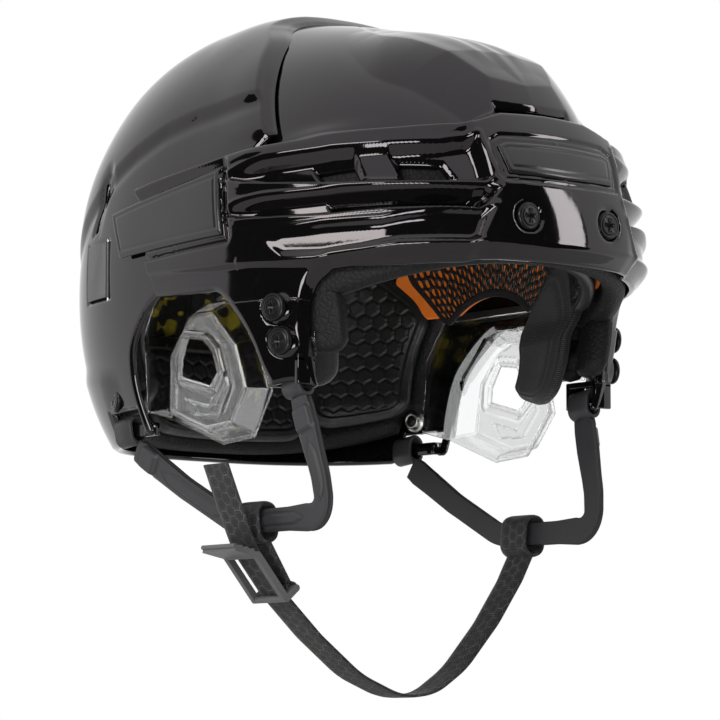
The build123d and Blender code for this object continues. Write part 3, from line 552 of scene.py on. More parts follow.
def front_vents(p, s):
    """Signed distance to the nearest opening of the front shell."""
    nearest = np.full(s.shape, FAR_OFF)
    for outline in VENTS:
        nearest = np.minimum(nearest, inside_distance(outline, s, p[..., 2]))
    rise = np.abs(p[..., 2] - TOP_SLOT_RISE - 0.002 * p[..., 0] ** 2)
    top = np.maximum(np.abs(p[..., 0]) - TOP_SLOT_HALF, rise - TOP_SLOT_TALL)
    return np.minimum(nearest, np.where(p[..., 1] < -60, top, FAR_OFF))


def front_cut(p):
    return np.maximum(inside_distance(front_outline, p[..., 1], p[..., 2]), -front_vents(p, girth(p)))


def past_seam(shift, y, z):
    """Signed distance to what lies behind the seam, with the seam moved ahead by a shift."""
    return inside_distance([(a - shift, b) for a, b in SEAM] + [(200, 150), (200, 58)], y, z)


def crown_level(y, z, s):
    """The low crown with its ridge, and the step down under the rear shell."""
    ridge = inside_distance(CROWN_RIDGE, s, z)
    crown = CROWN_LOW + line_at(RIDGE_LIFT, y) * np.clip(1 - ridge / 26, 0, 1)
    crown = crown - 0.5 * bell(ridge + 9, 7) * (ridge < 0)
    return crown - SEAM_DROP * ramp(0.5, -0.7, past_seam(5.0, y, z))


def brow_level(z, s):
    """The proud block in the middle of the brow, and the lower sides beside it."""
    side = s - line_at(BLOCK_SIDE, z)
    return BROW_LEVEL - SIDE_FALL * ramp(0, 6, side) * ramp(165, 118, s) * ramp(60, 52, z)


print("the brow stands", BROW_LEVEL - CROWN_LOW, "mm proud of the crown")


# %% Details of the front shell
RECESS_DEPTH, PANEL_DEPTH, PLATE_GROOVE, SIDE_GROOVE = 5.2, 1.5, 1.2, 3.3
POCKET_DEPTH, ROLL_DEPTH, ROLL_WIDTH = 1.9, 3.2, 6.5


def brow_details(level, z, s):
    """Recesses with their strut, the sunk panel, the low band and the seat of the plate."""
    for outline in (UPPER_RECESS, LOWER_RECESS):
        inside = inside_distance(outline, s, z)
        level -= RECESS_DEPTH * ramp(0.5, -3.4, inside) * ramp(184, 150, s)
        level += 0.5 * bell(inside - 1.0, 1.0)
    strut = inside_distance(STRUT, s, z)
    level += 3.2 * ramp(1.0, -1.6, strut) * ramp(0, -3, inside_distance(UPPER_RECESS, s, z))
    panel = inside_distance(PANEL, s, z)
    level -= (PANEL_DEPTH * ramp(0.5, -3.5, panel) - 0.6 * bell(panel - 1.2, 1.3)) * ramp(158, 118, s)
    low = z - line_at(LOW_BAND, s)
    level += 0.5 * bell(low, 1.4) * (s < 165) - 0.8 * ramp(1.5, -3, low) * ramp(40, 60, s) * (z > -20)
    level -= 1.4 * ramp(0.4, -1.6, z - line_at(LOW_FOLD, s)) * ramp(100, 130, s)
    plate = inside_distance(PLATE, s, z)
    level -= PLATE_GROOVE * bell(plate - 0.9, 0.75) + 0.5 * ramp(0, -1.2, plate)
    return level + 0.7 * ramp(34, 29.5, z) * ramp(44, 36, s)


def side_details(level, y, z, s):
    """The field of the side plate and its groove, the screws' pockets and the rolled rim."""
    mark = inside_distance(SIDE_PLATE, y, z)
    rise = z - line_at(SIDE_PLATE_STEP, y)
    field = 0.9 * ramp(0.2, -1.0, mark) + 0.7 * ramp(-0.4, -1.6, mark) * ramp(1.5, -1.0, rise)
    level += np.where(s > 120, -field - SIDE_GROOVE * bell(mark - 1.3, 1.45), 0)
    for at, run, here in [(BROW_SCREW, s, s < 60)] + [(at, y, s > 100) for at in TEMPLE_SCREWS]:
        away = np.hypot(run - at[0], z - at[1])
        level -= np.where(here, POCKET_DEPTH * ramp(7.3, 6.6, away) + 0.35 * ramp(9.5, 7.2, away), 0)
    rolled = np.minimum(line_distance(curve(RIM), y, z), line_distance(curve(BROW_LOW)[:-1], y, z))
    return level - ROLL_DEPTH * soft(1 - rolled / ROLL_WIDTH) ** 1.3


print("recesses are", RECESS_DEPTH, "mm deep")


# %% Press the front shell
def front_relief(p):
    """How far the outer skin of the front shell stands off the form."""
    y, z, s = p[..., 1], p[..., 2], girth(p)
    over = z - line_at(CREASE, s)
    crown = crown_level(y, z, s)
    level = crown + (brow_level(z, s) - crown) * (1 - ramp(-1.2, 5.6, over))
    level += 0.8 * bell(over + 3.6, 2.6) * ramp(44, 56, s) * ramp(200, 160, s)
    level += 1.8 * bell(over - 5, 5) * bell(s - 122, 22)
    level = side_details(brow_details(level, z, s), y, z, s)
    level -= 0.6 * ramp(-1.3, 0, inside_distance(front_outline, y, z))
    return level - 1.0 * ramp(1.5, 0, front_vents(p, s))


pressed_shell(
    "front_shell_skin", (-80, 80), (-22, 108), STEP, front_cut, front_relief,
    lambda level: level - SHELL_WALL, BROW_LEVEL, replaces=["front_shell"], **front_black,
)

# %% [markdown]
# ## Rear shell
# The rear shell laps over the crown. Its front edge is a wide bevel, so that a blow
# slides over it. A soft crease parts its crown from its sides, a slot behind each wing
# lets air out, and windows at its lower corners hold the locks and the harness bars.

# %% Outlines of the rear shell in the side view
TONGUE = [(-48.3, 58.75), (-36.4, 45), (-22.4, 25), (-5.6, 0), (11.2, -9)]
EAR_REAR = [(11.2, -9), (22, -12), (34, -20.7), (44, -32), (47.8, -44), (48.5, -56.8), (46.9, -75)]
rear_outline = joined(SEAM[::-1], TONGUE, EAR_REAR) + [(196, -75), (196, 170), (SEAM[-1][0], 170)]
REAR_CREASE = [
    (-32, 77.3), (-13, 75.1), (5, 72.6), (24, 68.2), (44, 60.2), (59, 52.6), (90, 34), (118, 14), (136, 2),
]
LEVER_WINDOW = [(61.5, -8.5), (86.5, -8.5), (86.5, 18.5), (61.5, 18.5)]
HOOK_WINDOW = [(51.5, -90), (77.5, -90), (77.5, -60.7), (51.5, -60.7)]
HOOK_SILL = [(8, -90), (70, -90), (70, -73), (8, -73)]
REAR_SLOT = [(66.5, 50), (70, 47), (81, 23.2), (76.5, 25)]
print("outline of", len(rear_outline), "places")


# %% Relief of the rear shell
BEVEL_WIDTH, BEVEL_FOOT, BEVEL_RISE = 5.2, -2.9, 3.9
CREASE_STEP, CREASE_WIDTH, NAPE_LIFT = 1.6, 4.6, 1.6


def rear_holes(p):
    y, z = p[..., 1], p[..., 2]
    nearest = np.full(y.shape, FAR_OFF)
    for outline in (LEVER_WINDOW, HOOK_WINDOW, HOOK_SILL, REAR_SLOT):
        nearest = np.minimum(nearest, inside_distance(outline, y, z))
    return nearest


def rear_cut(p):
    return np.maximum(inside_distance(rear_outline, p[..., 1], p[..., 2]), -rear_holes(p))


def rear_relief(p):
    """How far the outer skin of the rear shell stands off the form."""
    y, z = p[..., 1], p[..., 2]
    seam = line_distance(curve(SEAM), y, z)
    bevel = np.clip(seam / BEVEL_WIDTH, 0, 1)
    lip = BEVEL_FOOT + BEVEL_RISE * bevel - 1.0 * ramp(9, 30, seam)
    level = np.where(z > 50, lip * ramp(52, 60, z), 0)
    over = z - line_at(REAR_CREASE, y)
    ridge = np.clip((over + CREASE_WIDTH) / CREASE_WIDTH, 0, 1) * ramp(45, 4, over)
    level += (CREASE_STEP * ridge - 0.4 * bell(over + 6.6, 3.0)) * ramp(4, 7, seam) * ramp(136, 90, y)
    nape = z - (-38 + 0.1 * (y - 60))
    level += NAPE_LIFT * ramp(-2, -12, nape) * ramp(60, 80, y)
    slot = inside_distance(REAR_SLOT, y, z)
    level -= 1.5 * ramp(7, 0, slot) * ramp(80, 60, y)
    level -= 0.6 * ramp(-1.4, 0, inside_distance(rear_outline, y, z))
    return level - 0.7 * ramp(1.8, 0, rear_holes(p)) - 0.3


pressed_shell(
    "rear_shell_skin", (-80, 80), (55, 222), STEP * 1.2, rear_cut, rear_relief,
    lambda level: np.minimum(level - 1.0, -2.95), 0.0, replaces=["rear_shell"], **rear_black,
)

# %% [markdown]
# ## Small moulded and turned shapes
# Screws and nuts are turned, so a profile spun about an axis makes them. Lugs, bars and
# pins are blocks with rounded edges. One small class gathers such parts into one mesh.

# %% Spin a profile, add a block
import bmesh


class Shape:
    """Corners and faces of one piece, gathered part by part."""

    def __init__(self):
        self.verts, self.faces = [], []

    def add(self, verts, faces):
        start = len(self.verts)
        self.verts.extend(np.asarray(verts, float).tolist())
        self.faces.extend(tuple(start + i for i in f) for f in faces)

    def piece(self, name, **rest):
        return piece(name, self.verts, self.faces, **rest)


def net(rows, columns, closed=False):
    """Quads of a grid of rows by columns; closed joins the last column to the first."""
    found = []
    for here in range(0, (rows - 1) * columns, columns):
        above = here + columns
        for c in range(columns if closed else columns - 1):
            d = (c + 1) % columns
            found.append((here + c, here + d, above + d, above + c))
    return found


def frame_of(origin, out):
    """Rows: origin, across, up and out of a seat."""
    out = np.array(out, float) / np.linalg.norm(out)
    across = np.cross((0, 0, 1), out)
    across /= np.linalg.norm(across)
    return np.array([origin, across, np.cross(out, across), out], float)


def spin(shape, seat, profile, turns=48, press=None):
    """Spins (radius, height) pairs about a seat's axis; press sinks places of the top."""
    turn = np.linspace(0, 2 * math.pi, turns, endpoint=False)
    radius, height = (np.array(q, float)[:, None] for q in zip(*profile))
    a, b = radius * np.cos(turn), radius * np.sin(turn)
    h = height + 0 * a
    if press:
        h = press(a, b, h)
    places = seat[0] + a[..., None] * seat[1] + b[..., None] * seat[2] + h[..., None] * seat[3]
    shape.add(places.reshape(-1, 3), net(len(profile), turns, closed=True))


def block(shape, low, high, round_by=0.6, seat=None):
    """A block between two corners with rounded edges, in a seat's frame if one is given."""
    low, high = np.minimum(low, high), np.maximum(low, high)
    mesh = bmesh.new()
    bmesh.ops.create_cube(mesh, size=1)
    bmesh.ops.transform(mesh, matrix=Matrix.Diagonal((*(high - low), 1)), verts=mesh.verts)
    bmesh.ops.bevel(mesh, geom=mesh.edges[:], offset=round_by, segments=2, profile=0.5, affect="EDGES")
    places = np.array([v.co[:] for v in mesh.verts]) + (low + high) / 2
    if seat is not None:
        places = seat[0] + places @ seat[1:]
    shape.add(places, [[v.index for v in f.verts] for f in mesh.faces])
    mesh.free()


def surface_y(x, z, grow):
    """How far forward the skin is at a place in the front view."""
    start = np.array([x, 0.0, z])
    return -float(ray_length(start, np.array([0.0, -1.0, 0.0]), grow))


print("profiles spin, blocks have round edges")

# %% [markdown]
# ## Screws and nuts
# The screws are black coated steel: a flat head with a chamfer, a ring pressed into it
# and a cross recess. They sit in round pockets of the shell. Plated barrel nuts hold
# them from inside. A painted highlight lightens the black coating along sharp edges: a
# bevel-like mask from the geometry's pointiness lifts the colour at the edges only.

# %% Fastener finishes
def coated_recipe():
    # Painted highlight: the colour is lifted along sharp edges, which pointiness finds.
    edge_highlight = Wire.node("ShaderNodeNewGeometry", out="Pointiness").step(0.53, 0.60)
    grain = noise(0.0009, 3.0)
    return {
        "Base_Color": mix(edge_highlight * 0.6, rgb(0.012, 0.012, 0.013), rgb(0.07, 0.07, 0.072)),
        "Roughness": grain * 0.16 + 0.24,
        "Normal": bump(grain, 0.00003),
    }


def plated_recipe():
    grain = noise(0.0012, 4.0)
    return {
        "Base_Color": mix(grain, rgb(0.52, 0.52, 0.50), rgb(0.66, 0.66, 0.65)),
        "Roughness": grain * 0.2 + 0.22,
    }


coated_steel = material("black coated steel", coated_recipe, Metallic=0.6)
plated_steel = material("plated steel", plated_recipe, Metallic=1.0)
print("made", coated_steel.name, "and", plated_steel.name)


# %% Screws, nuts and their seats
CROSS_HALF, CROSS_REACH, SCREW_SINK = 0.75, 3.0, 1.6
TEMPLE_TURN, REAR_TURN = 14.0, -18.0
TEMPLE_PLACES = [(-60.48, -24.125), (-61.88, -39.125)]


def cross_recess(a, b, h):
    """Sinks a cross into the middle of a screw head, deeper towards its centre."""
    a, b = np.abs(a), np.abs(b)
    upright, level = np.maximum(a - CROSS_HALF, b - CROSS_REACH), np.maximum(b - CROSS_HALF, a - CROSS_REACH)
    arm = np.minimum(upright, level)
    return h - np.where(h > 1.5, ramp(0.18, -0.18, arm) * (1.7 - 0.32 * np.hypot(a, b)), 0)


def screw(shape, seat, grip):
    top = [(r, 2.35) for r in np.arange(0.02, 3.6, 0.14)]
    edge = [
        (3.7, 2.35), (4.5, 2.3), (4.75, 2.12), (5.0, 2.3), (5.5, 2.25),
        (5.95, 1.95), (6.25, 1.45), (6.3, 0.9), (6.3, 0),
    ]
    shank = [(2.5, 0), (2.5, -grip - 4.2), (2.1, -grip - 4.6), (0.02, -grip - 4.6)]
    spin(shape, seat, top + edge + shank, 72, cross_recess)


def nut(shape, seat, grip):
    flange = [(2.6, 0), (5.2, 0), (5.5, -0.3), (5.5, -1.2), (5.2, -1.4), (3.8, -1.4)]
    barrel = [(3.8, -4.3), (3.5, -4.6), (2.6, -4.6), (2.6, 0)]
    spin(shape, seat, [(radius, height - grip) for radius, height in flange + barrel])


def side_seat(y, z, turn, side, grow):
    """Frame under the head of a side screw."""
    turn = math.radians(turn)
    out = np.array([side * math.cos(turn), -math.sin(turn), 0.0])
    return frame_of(np.array([side * float(side_x(y, z, grow)), y, z]) - out * SCREW_SINK, out)


brow_seats, temple_seats, rear_seats = [], [], []
for side in (-1, 1):
    x, z = side * 23.7, 14.6
    brow_seats.append(frame_of((x, surface_y(x, z, BROW_LEVEL) + SCREW_SINK, z), (0, -1, 0)))
    temple_seats += [side_seat(y, z, TEMPLE_TURN, side, BROW_LEVEL) for y, z in TEMPLE_PLACES]
    rear_seats.append(side_seat(70.0, -54.625, REAR_TURN, side, 0.0))
for name, seats, grips, body in (
    ("brow", brow_seats, [6.0] * 2, "helmet_front"),
    ("temple", temple_seats, [8.0, 9.8, 8.0, 9.8], "helmet_front"),
    ("rear", rear_seats, [4.4] * 2, "helmet_rear"),
):
    screws, nuts = Shape(), Shape()
    for seat, grip in zip(seats, grips):
        screw(screws, seat, grip)
        nut(nuts, seat, grip)
    for shape, word, slot, finish, node in (
        (screws, "_screw_heads", "screw_steel", coated_steel, "_screws"),
        (nuts, "_barrel_nuts", "nut_steel", plated_steel, "_nuts"),
    ):
        shape.piece(name + word, body=body, slot=slot, finish=finish, replaces=[name + node])

# %% [markdown]
# ## Bosses and bars inside the shells
# The shells were drawn as sheets, so what stands on their inner faces is added here: a
# round pad behind each screw of the front shell, the bar and ears that carry the front
# hook of a harness loop, and the bar across each rear window that carries its rear hook.

# %% Bosses, lugs and bars
ANCHOR_HALF, ANCHOR_FRONT, ANCHOR_DROP = 86.5, -57.0, 56.0
ANCHOR_REAR, ANCHOR_FALL, HARNESS_LEAN = 70.0, 13.5, math.radians(5.6)
REAR_BAR = (50, 79)
inner_front, inner_rear = Shape(), Shape()
for seats, grip in ((brow_seats, 6.0), (temple_seats, 8.0)):
    boss = [(2.9, -1.9), (7.1, -1.9), (7.1, 0.4 - grip), (6.7, -grip), (2.9, -grip), (2.9, -1.9)]
    for seat in seats:
        spin(inner_front, seat, boss)
for side in (-1, 1):
    low, wall = side * (ANCHOR_HALF - 2.0), side * float(side_x(ANCHOR_FRONT - 7.5, -ANCHOR_DROP, 2.7))
    roof = 8.0 - ANCHOR_DROP
    for y in (ANCHOR_FRONT - 9, ANCHOR_FRONT + 9):
        block(inner_front, (low, y - 1.5, -ANCHOR_DROP - 2), (wall, y + 1.5, roof + 2))
    block(inner_front, (low, ANCHOR_FRONT - 10.5, roof), (wall, ANCHOR_FRONT + 10.5, roof + 3))
    seat = frame_of((side * ANCHOR_HALF, ANCHOR_FRONT, -ANCHOR_DROP), (0, 1, 0))
    spin(inner_front, seat, [(0.02, -9), (2, -9), (2, 9), (0.02, 9)], 24)
    x, z = ANCHOR_HALF - ANCHOR_FALL * math.tan(HARNESS_LEAN), -ANCHOR_DROP - ANCHOR_FALL
    block(inner_rear, (side * (x - 1.5), REAR_BAR[0], z - 3), (side * (x + 1.5), REAR_BAR[1], z + 3))
    for y in REAR_BAR:
        wall = float(side_x(y, z, -1.5))
        near, far = side * min(wall - 0.7, x - 1.5), side * max(wall + 0.7, x + 1.5)
        block(inner_rear, (near, y - 1.5, z - 3), (far, y + 1.5, z + 3))
inner_front.piece("front_shell_lugs", replaces=["front_shell"], **front_black)
inner_rear.piece("rear_shell_bars", replaces=["rear_shell"], **rear_black)

# %% [markdown]
# ## Plates
# A raised plate fills the sunk field of the brow, and another fills the field on each
# wing. Both are left bare. Each is a thin sheet that follows the shell, crowned a little,
# with a fine border pressed in so that light catches its edge as it does on a real plate.

# %% Bare plates
def plate_recipe():
    cloud = noise(0.012, 3.0)
    return {
        "Base_Color": mix(cloud, rgb(0.012, 0.012, 0.0125), rgb(0.018, 0.018, 0.019)),
        "Roughness": cloud * 0.07 + 0.16,
        "Normal": bump(noise(0.03, 2.0), 0.0002, 0.6),
    }


plate_finish = material("polished bare plate", plate_recipe, IOR=1.5)


def plate(name, outline, run, across, around, low, high, **rest):
    """A thin plate on the shell inside an outline."""
    def cut(p):
        return inside_distance(outline, run(p), p[..., 2])

    def relief(p):
        d = cut(p)
        return high - 0.45 * ramp(-0.9, 0, d) - 0.25 * bell(d + 2.6, 0.55)

    def back(level):
        return 0 * level + low

    return pressed_shell(name, across, around, STEP * 0.7, cut, relief, back, high, **rest)


def inset(outline, by):
    """An outline drawn in towards its middle by about a distance."""
    p = np.array(outline, float)
    middle = (p.max(0) + p.min(0)) / 2
    half = (p.max(0) - p.min(0)) / 2
    return [tuple(q) for q in middle + (p - middle) * (half - by) / half]


brow_field = PLATE + [(-q[0], q[1]) for q in PLATE[-2:0:-1]]
plate(
    "brow_bare_plate", inset(brow_field, 2.4), lambda p: np.sign(p[..., 0]) * girth(p),
    (-28, 28), (20, 45), 3.9, 4.75,
    body="helmet_front", slot="badge_black", finish=plate_finish, replaces=["brow_badge"],
)
for side, word in SIDES:
    plate(
        word + "_wing_bare_plate", inset(SIDE_PLATE, 2.2), lambda p: p[..., 1],
        sorted([side * 50, side * 80]), (40, 170), 2.4, 4.1,
        body="helmet_front", slot="badge_side", finish=plate_finish, replaces=[word + "_side_badge"],
    )

# %% [markdown]
# ## Size locks and racks
# A toothed strip on each side slides behind the rear shell, and a small lever at the
# window presses on its teeth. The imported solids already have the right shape, so their
# copies only get what a mould gives: rounded edges.

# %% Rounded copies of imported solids
def softened(name, node, width, segments=3, **rest):
    """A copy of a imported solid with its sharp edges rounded."""
    mesh = bmesh.new()
    mesh.from_mesh(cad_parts[node].data)
    bmesh.ops.remove_doubles(mesh, verts=mesh.verts, dist=1e-6)
    bmesh.ops.dissolve_limit(mesh, angle_limit=math.radians(3), verts=mesh.verts, edges=mesh.edges)
    places = np.array([v.co[:] for v in mesh.verts]) / MM
    made = piece(name, places, [[v.index for v in f.verts] for f in mesh.faces], replaces=[node], **rest)
    mesh.free()
    made.data.set_sharp_from_angle(angle=math.radians(28))
    rounding = made.modifiers.new("rounded edges", "BEVEL")
    rounding.width, rounding.segments = width * MM, segments
    rounding.limit_method, rounding.angle_limit = "ANGLE", math.radians(28)
    rounding.use_clamp_overlap = True
    return made


def moulded_recipe(dark, light, rough):
    return grained(dark, light, (0.0006, 4.0, 0.6), (0.14, rough), 0.00005, 0.7, (0.02, 2.0), 0.7)


rack_plastic = material("matt rack plastic", moulded_recipe((0.018,) * 3, (0.028,) * 3, 0.42))
lever_plastic = material("satin lever plastic", moulded_recipe((0.02,) * 3, (0.03, 0.03, 0.032), 0.26))
for _, word in SIDES:
    softened(
        word + "_rack_strip", word + "_adjust_rack", 0.3, 2,
        body="helmet_front", slot="rack_black", finish=rack_plastic,
    )
    softened(
        word + "_lever_plate", word + "_lock_lever", 0.5,
        body=word + "_lock_lever", slot="lever_grey", finish=lever_plastic,
    )
softened("lever_hinge_pins", "lever_pins", 0.2, 2, body="helmet_rear", slot="nut_steel", finish=plated_steel)

# %% [markdown]
# ## Clear ear guards
# Each ear is covered by a clear injection moulded tray: a flange that tucks behind the
# shell, a raised face with a hole for hearing, a collar round the hole and a bare
# embossed patch under it. Clear plastic is seen by its edges, which gather light, so
# the walls need true thickness and crisp ridges. A height over the side view, with the
# distance to each outline as its ruler, gives all of that at once.

# %% Clear plastic
def clear_recipe():
    haze = noise(0.008, 5.0, 0.6)
    return {
        "Base_Color": mix(haze * 0.3, rgb(0.96, 0.97, 0.98), rgb(0.86, 0.88, 0.90)),
        "Roughness": haze * 0.03 + 0.005,
        "Normal": bump(noise(0.03, 1.0), 0.00006),
    }


clear_plastic = material("clear moulded plastic", clear_recipe, IOR=1.49, Transmission_Weight=1.0, Alpha=0.55)
print("made", clear_plastic.name)


# %% Ear guards
GUARD_FACE = [
    (5.6, -14.8), (-9.2, -14.8), (-27.4, -33.6), (-34.7, -57.4), (-20.6, -76.5),
    (1.1, -78.2), (33.5, -66), (30.7, -35.9), (14.4, -18.1),
]
GUARD_HOLE = [
    (12.5, -30.2), (0, -31.9), (-7.1, -38.2), (-9.9, -47.9), (-3.4, -53.8), (18.3, -47.9), (18.1, -40.4),
]
GUARD_FLANGE = [
    (-18.2, -7.5), (44.8, -7.5), (56, -25), (56.7, -61.2), (36.4, -66.2), (33, -66.5), (2, -77),
    (-20, -75.5), (-35, -57), (-30, -43.5), (-49, -43.3), (-49, -31.2), (-27, -31.2),
]
GUARD_PATCH = [(16.5, -57.5), (-1.5, -62.2), (-15.6, -49), (-17.4, -54.6), (-7.6, -67.3), (9.6, -66.4)]
GUARD_PIVOT, GUARD_HALF, GUARD_LEAN = -47.5, 84.2, math.radians(4.3)
GUARD_WALL, FACE_RISE, COLLAR_RISE = 1.8, 8.5, 1.5
GUARD_STEP = 0.45
TAB_INNER, TAB_OUTER, TAB_STEP = 86.0, 87.8, -49.7


def guard_height(y, z):
    """How far the outer skin stands out of the flange."""
    face = inside_distance(GUARD_FACE, y, z)
    height = FACE_RISE * soft(np.clip((0.2 - face) / 5.2, 0, 1))
    height += 0.55 * bell(face + 5.9, 0.75)
    hole = inside_distance(GUARD_HOLE, y, z)
    height += COLLAR_RISE * ramp(3.4, 2.0, hole) - 0.5 * ramp(0.9, 0.1, hole) - 0.6 * bell(hole - 4.4, 0.8)
    patch = inside_distance(GUARD_PATCH, y, z)
    height += 0.75 * ramp(0.4, -0.5, patch) - 0.35 * ramp(-1.0, -1.5, patch)
    return height


def guard_outline(y, z):
    flange = np.minimum(inside_distance(GUARD_FLANGE, y, z), inside_distance(GUARD_FACE, y, z) - 1.2)
    return np.maximum(flange, -inside_distance(GUARD_HOLE, y, z))


def guard_tab(shape, side):
    """A stepped tab in front of the flange, which the rear screw of the temple holds."""
    tab_y, tab_z = TEMPLE_PLACES[1]
    turn = math.radians(TEMPLE_TURN)
    seat = side_seat(tab_y, tab_z, TEMPLE_TURN, side, BROW_LEVEL)
    reach = (TAB_STEP - tab_y) / math.cos(turn)
    out = abs(seat[0][0]) - 8.0 + reach * math.tan(turn)
    start = (side * TAB_INNER, TAB_STEP, -43.1)
    block(shape, start, (side * TAB_OUTER, -38, -31.3), 0.4)
    block(shape, start, (side * out, TAB_STEP + 1.8, -31.3), 0.4)
    low, high = sorted([side * -reach, side * 6.5])
    block(shape, (low, -7.0, -9.8), (high, 4.8, -8.0), 0.4, seat)


def ear_guard(word, side):
    y, z = np.meshgrid(np.arange(-50, 58.5, GUARD_STEP), np.arange(-80, -6.5, GUARD_STEP))
    y, z, keep = cut_grid(y, z, guard_outline)
    height = guard_height(y, z)
    step_z, step_y = np.gradient(height, axis=(0, 1))
    normal = np.stack([np.ones_like(height), -step_y / GUARD_STEP, -step_z / GUARD_STEP], -1)
    normal /= np.linalg.norm(normal, axis=-1, keepdims=True)
    wall = GUARD_WALL + 0.9 * ramp(2.2, 0, inside_distance(GUARD_HOLE, y, z))
    outer = np.stack([height, y, z], -1)

    def settle(p):
        h, rise = p[..., 0] + GUARD_WALL, p[..., 2] - GUARD_PIVOT
        x = GUARD_HALF + h * math.cos(GUARD_LEAN) + rise * math.sin(GUARD_LEAN)
        lift = GUARD_PIVOT + rise * math.cos(GUARD_LEAN) - h * math.sin(GUARD_LEAN)
        return np.stack([side * x, p[..., 1], lift], -1).reshape(-1, 3)

    faces = faces_of(keep)
    if side < 0:
        faces = [f[::-1] for f in faces]
    shape = Shape()
    shape.add(*wall_from(settle(outer), settle(outer - normal * wall[..., None]), faces))
    guard_tab(shape, side)
    made = shape.piece(
        word + "_clear_guard",
        body="helmet_front", slot="guard_clear", finish=clear_plastic, replaces=[word + "_ear_guard"],
    )
    made.data.set_sharp_from_angle(angle=math.radians(22))


for side, word in SIDES:
    ear_guard(word, side)

# %% [markdown]
# ## Harness loops
# A moulded strap of grey polymer hangs from each side: it hooks onto a bar in the temple
# and one at the rear edge, and the chin strap hangs from its lowest run. Its centre line
# is a few straight runs with rounded corners. The strap is a sheet over length and
# width, so its edge radius, the slim raised rib and the round cornered buttons are all
# heights over that sheet, and it comes out as one moulding.

# %% Rounded runs
def rounded_run(points, rounds, step=1.0):
    """Places along straight runs whose corners are arcs."""
    p = [np.array(q, float) for q in points]
    out = [p[0]]
    for before, here, after, radius in zip(p[:-2], p[1:-1], p[2:], rounds):
        a, b = (before - here) / np.linalg.norm(before - here), (after - here) / np.linalg.norm(after - here)
        half = math.acos(np.clip(a @ b, -1, 1)) / 2
        back = radius / math.tan(half)
        centre = here + (a + b) / np.linalg.norm(a + b) * radius / math.sin(half)
        start, stop = here + a * back, here + b * back
        v, w = start - centre, stop - centre
        turn = math.acos(np.clip(v @ w / radius**2, -1, 1))
        count = max(int(turn * radius / step), 4)
        for t in np.linspace(0, 1, count + 1):
            out.append(centre + (v * math.sin((1 - t) * turn) + w * math.sin(t * turn)) / math.sin(turn))
    out.append(p[-1])
    line = np.array(out)
    length = np.append(0, np.cumsum(np.linalg.norm(np.diff(line, axis=0), axis=1)))
    even = np.linspace(0, length[-1], int(length[-1] / step) + 1)
    return np.stack([np.interp(even, length, line[:, k]) for k in range(line.shape[1])], -1), even


def headings(line):
    """Unit directions along a line of places."""
    run = np.gradient(line, axis=0)
    return run / np.linalg.norm(run, axis=1, keepdims=True)


def harness_seat(side):
    """Frame of a loop: rows are origin, back, down the loop, and out of it."""
    sine, cosine = math.sin(HARNESS_LEAN), math.cos(HARNESS_LEAN)
    origin = (side * ANCHOR_HALF, ANCHOR_FRONT, -ANCHOR_DROP)
    return np.array([origin, (0, 1, 0), (-side * sine, 0, -cosine), (side * cosine, 0, -sine)], float)


harness_recipe = grained(
    (0.020, 0.020, 0.023), (0.032, 0.032, 0.036), grain=(0.0007, 3.0, 0.6), rough=(0.12, 0.46),
    relief=0.00006, strength=0.8, cloud=(0.012, 3.0), share=0.6,
)
harness_plastic = material("soft grey harness polymer", harness_recipe)
print("runs and seats are ready")

# %% Heights and widths of a loop
HARNESS_RUN = [(-1.0, 6.2), (-11.0, 42.0), (-13.0, 60.0), (52.0, 60.0), (88.0, 42.0), (121.5, 22.5)]
HARNESS_ROUNDS = [30.0, 9.0, 30.0, 60.0]
HARNESS_HALF, RIB_RISE, BUTTON_RISE = 1.7, 0.75, 1.45
HOOK_RADIUS, HOOK_SLOT = 2.9, 2.3
HOOK_SECTION = [
    (-6.5, 0.35), (-6.2, 0.05), (6.2, 0.05), (6.5, 0.35), (6.5, 1.5),
    (6.1, 1.8), (-6.1, 1.8), (-6.5, 1.5), (-6.5, 0.35),
]


def loop_width(along):
    """Half width along a loop, which swells at both ends and at the corner."""
    total = along[-1]
    return line_at([
        (0, 5.4), (6, 6.1), (16, 6.2), (30, 5.3), (48, 5.0), (62, 6.3), (75, 5.4), (120, 5.2),
        (150, 5.2), (total - 20, 5.6), (total - 6, 6.1), (total, 5.4),
    ], along)


def loop_top(s, n, lane, total):
    """Outer face of a loop: thinner edges, tapered ribs in grooves, and a button at each end."""
    top = HARNESS_HALF - 0.55 * np.clip(np.abs(lane) - 0.72, 0, 1) / 0.28
    for low, high, rib in ((22, 47, 2.2), (66, 112, 2.0), (124, total - 24, 2.3)):
        taper = rib * np.minimum(1, np.minimum(s - low, high - s) / 5)
        top += np.where((s > low) & (s < high), RIB_RISE * ramp(0.25, -0.25, np.abs(n) - taper), 0)
        top -= np.where((s > low - 2) & (s < high + 2), 0.35 * bell(np.abs(n) - taper - 0.9, 0.5), 0)
    for middle in (10.5, total - 10.5):
        box = np.hypot(np.maximum(np.abs(s - middle) - 3.4, 0), np.maximum(np.abs(n) - 3.4, 0)) - 2.0
        top += BUTTON_RISE * ramp(0.4, -0.5, box) - 0.5 * bell(box - 0.7, 0.45)
    return top


def hook(centre, hinge, drop, out):
    """A slotted ring that holds a bar."""
    turn = np.linspace(0, 2 * math.pi, 48, endpoint=False)
    rings = []
    for width, grow in HOOK_SECTION:
        ring = HOOK_RADIUS + grow
        low = np.sin(turn) * ring + np.sign(np.sin(turn)) * HOOK_SLOT
        rings.append(centre + hinge * width + np.outer(low, drop) + np.outer(np.cos(turn) * ring, out))
    return np.array(rings).reshape(-1, 3), net(len(rings), len(turn), closed=True)


print("a loop has", len(HARNESS_ROUNDS), "rounded corners")


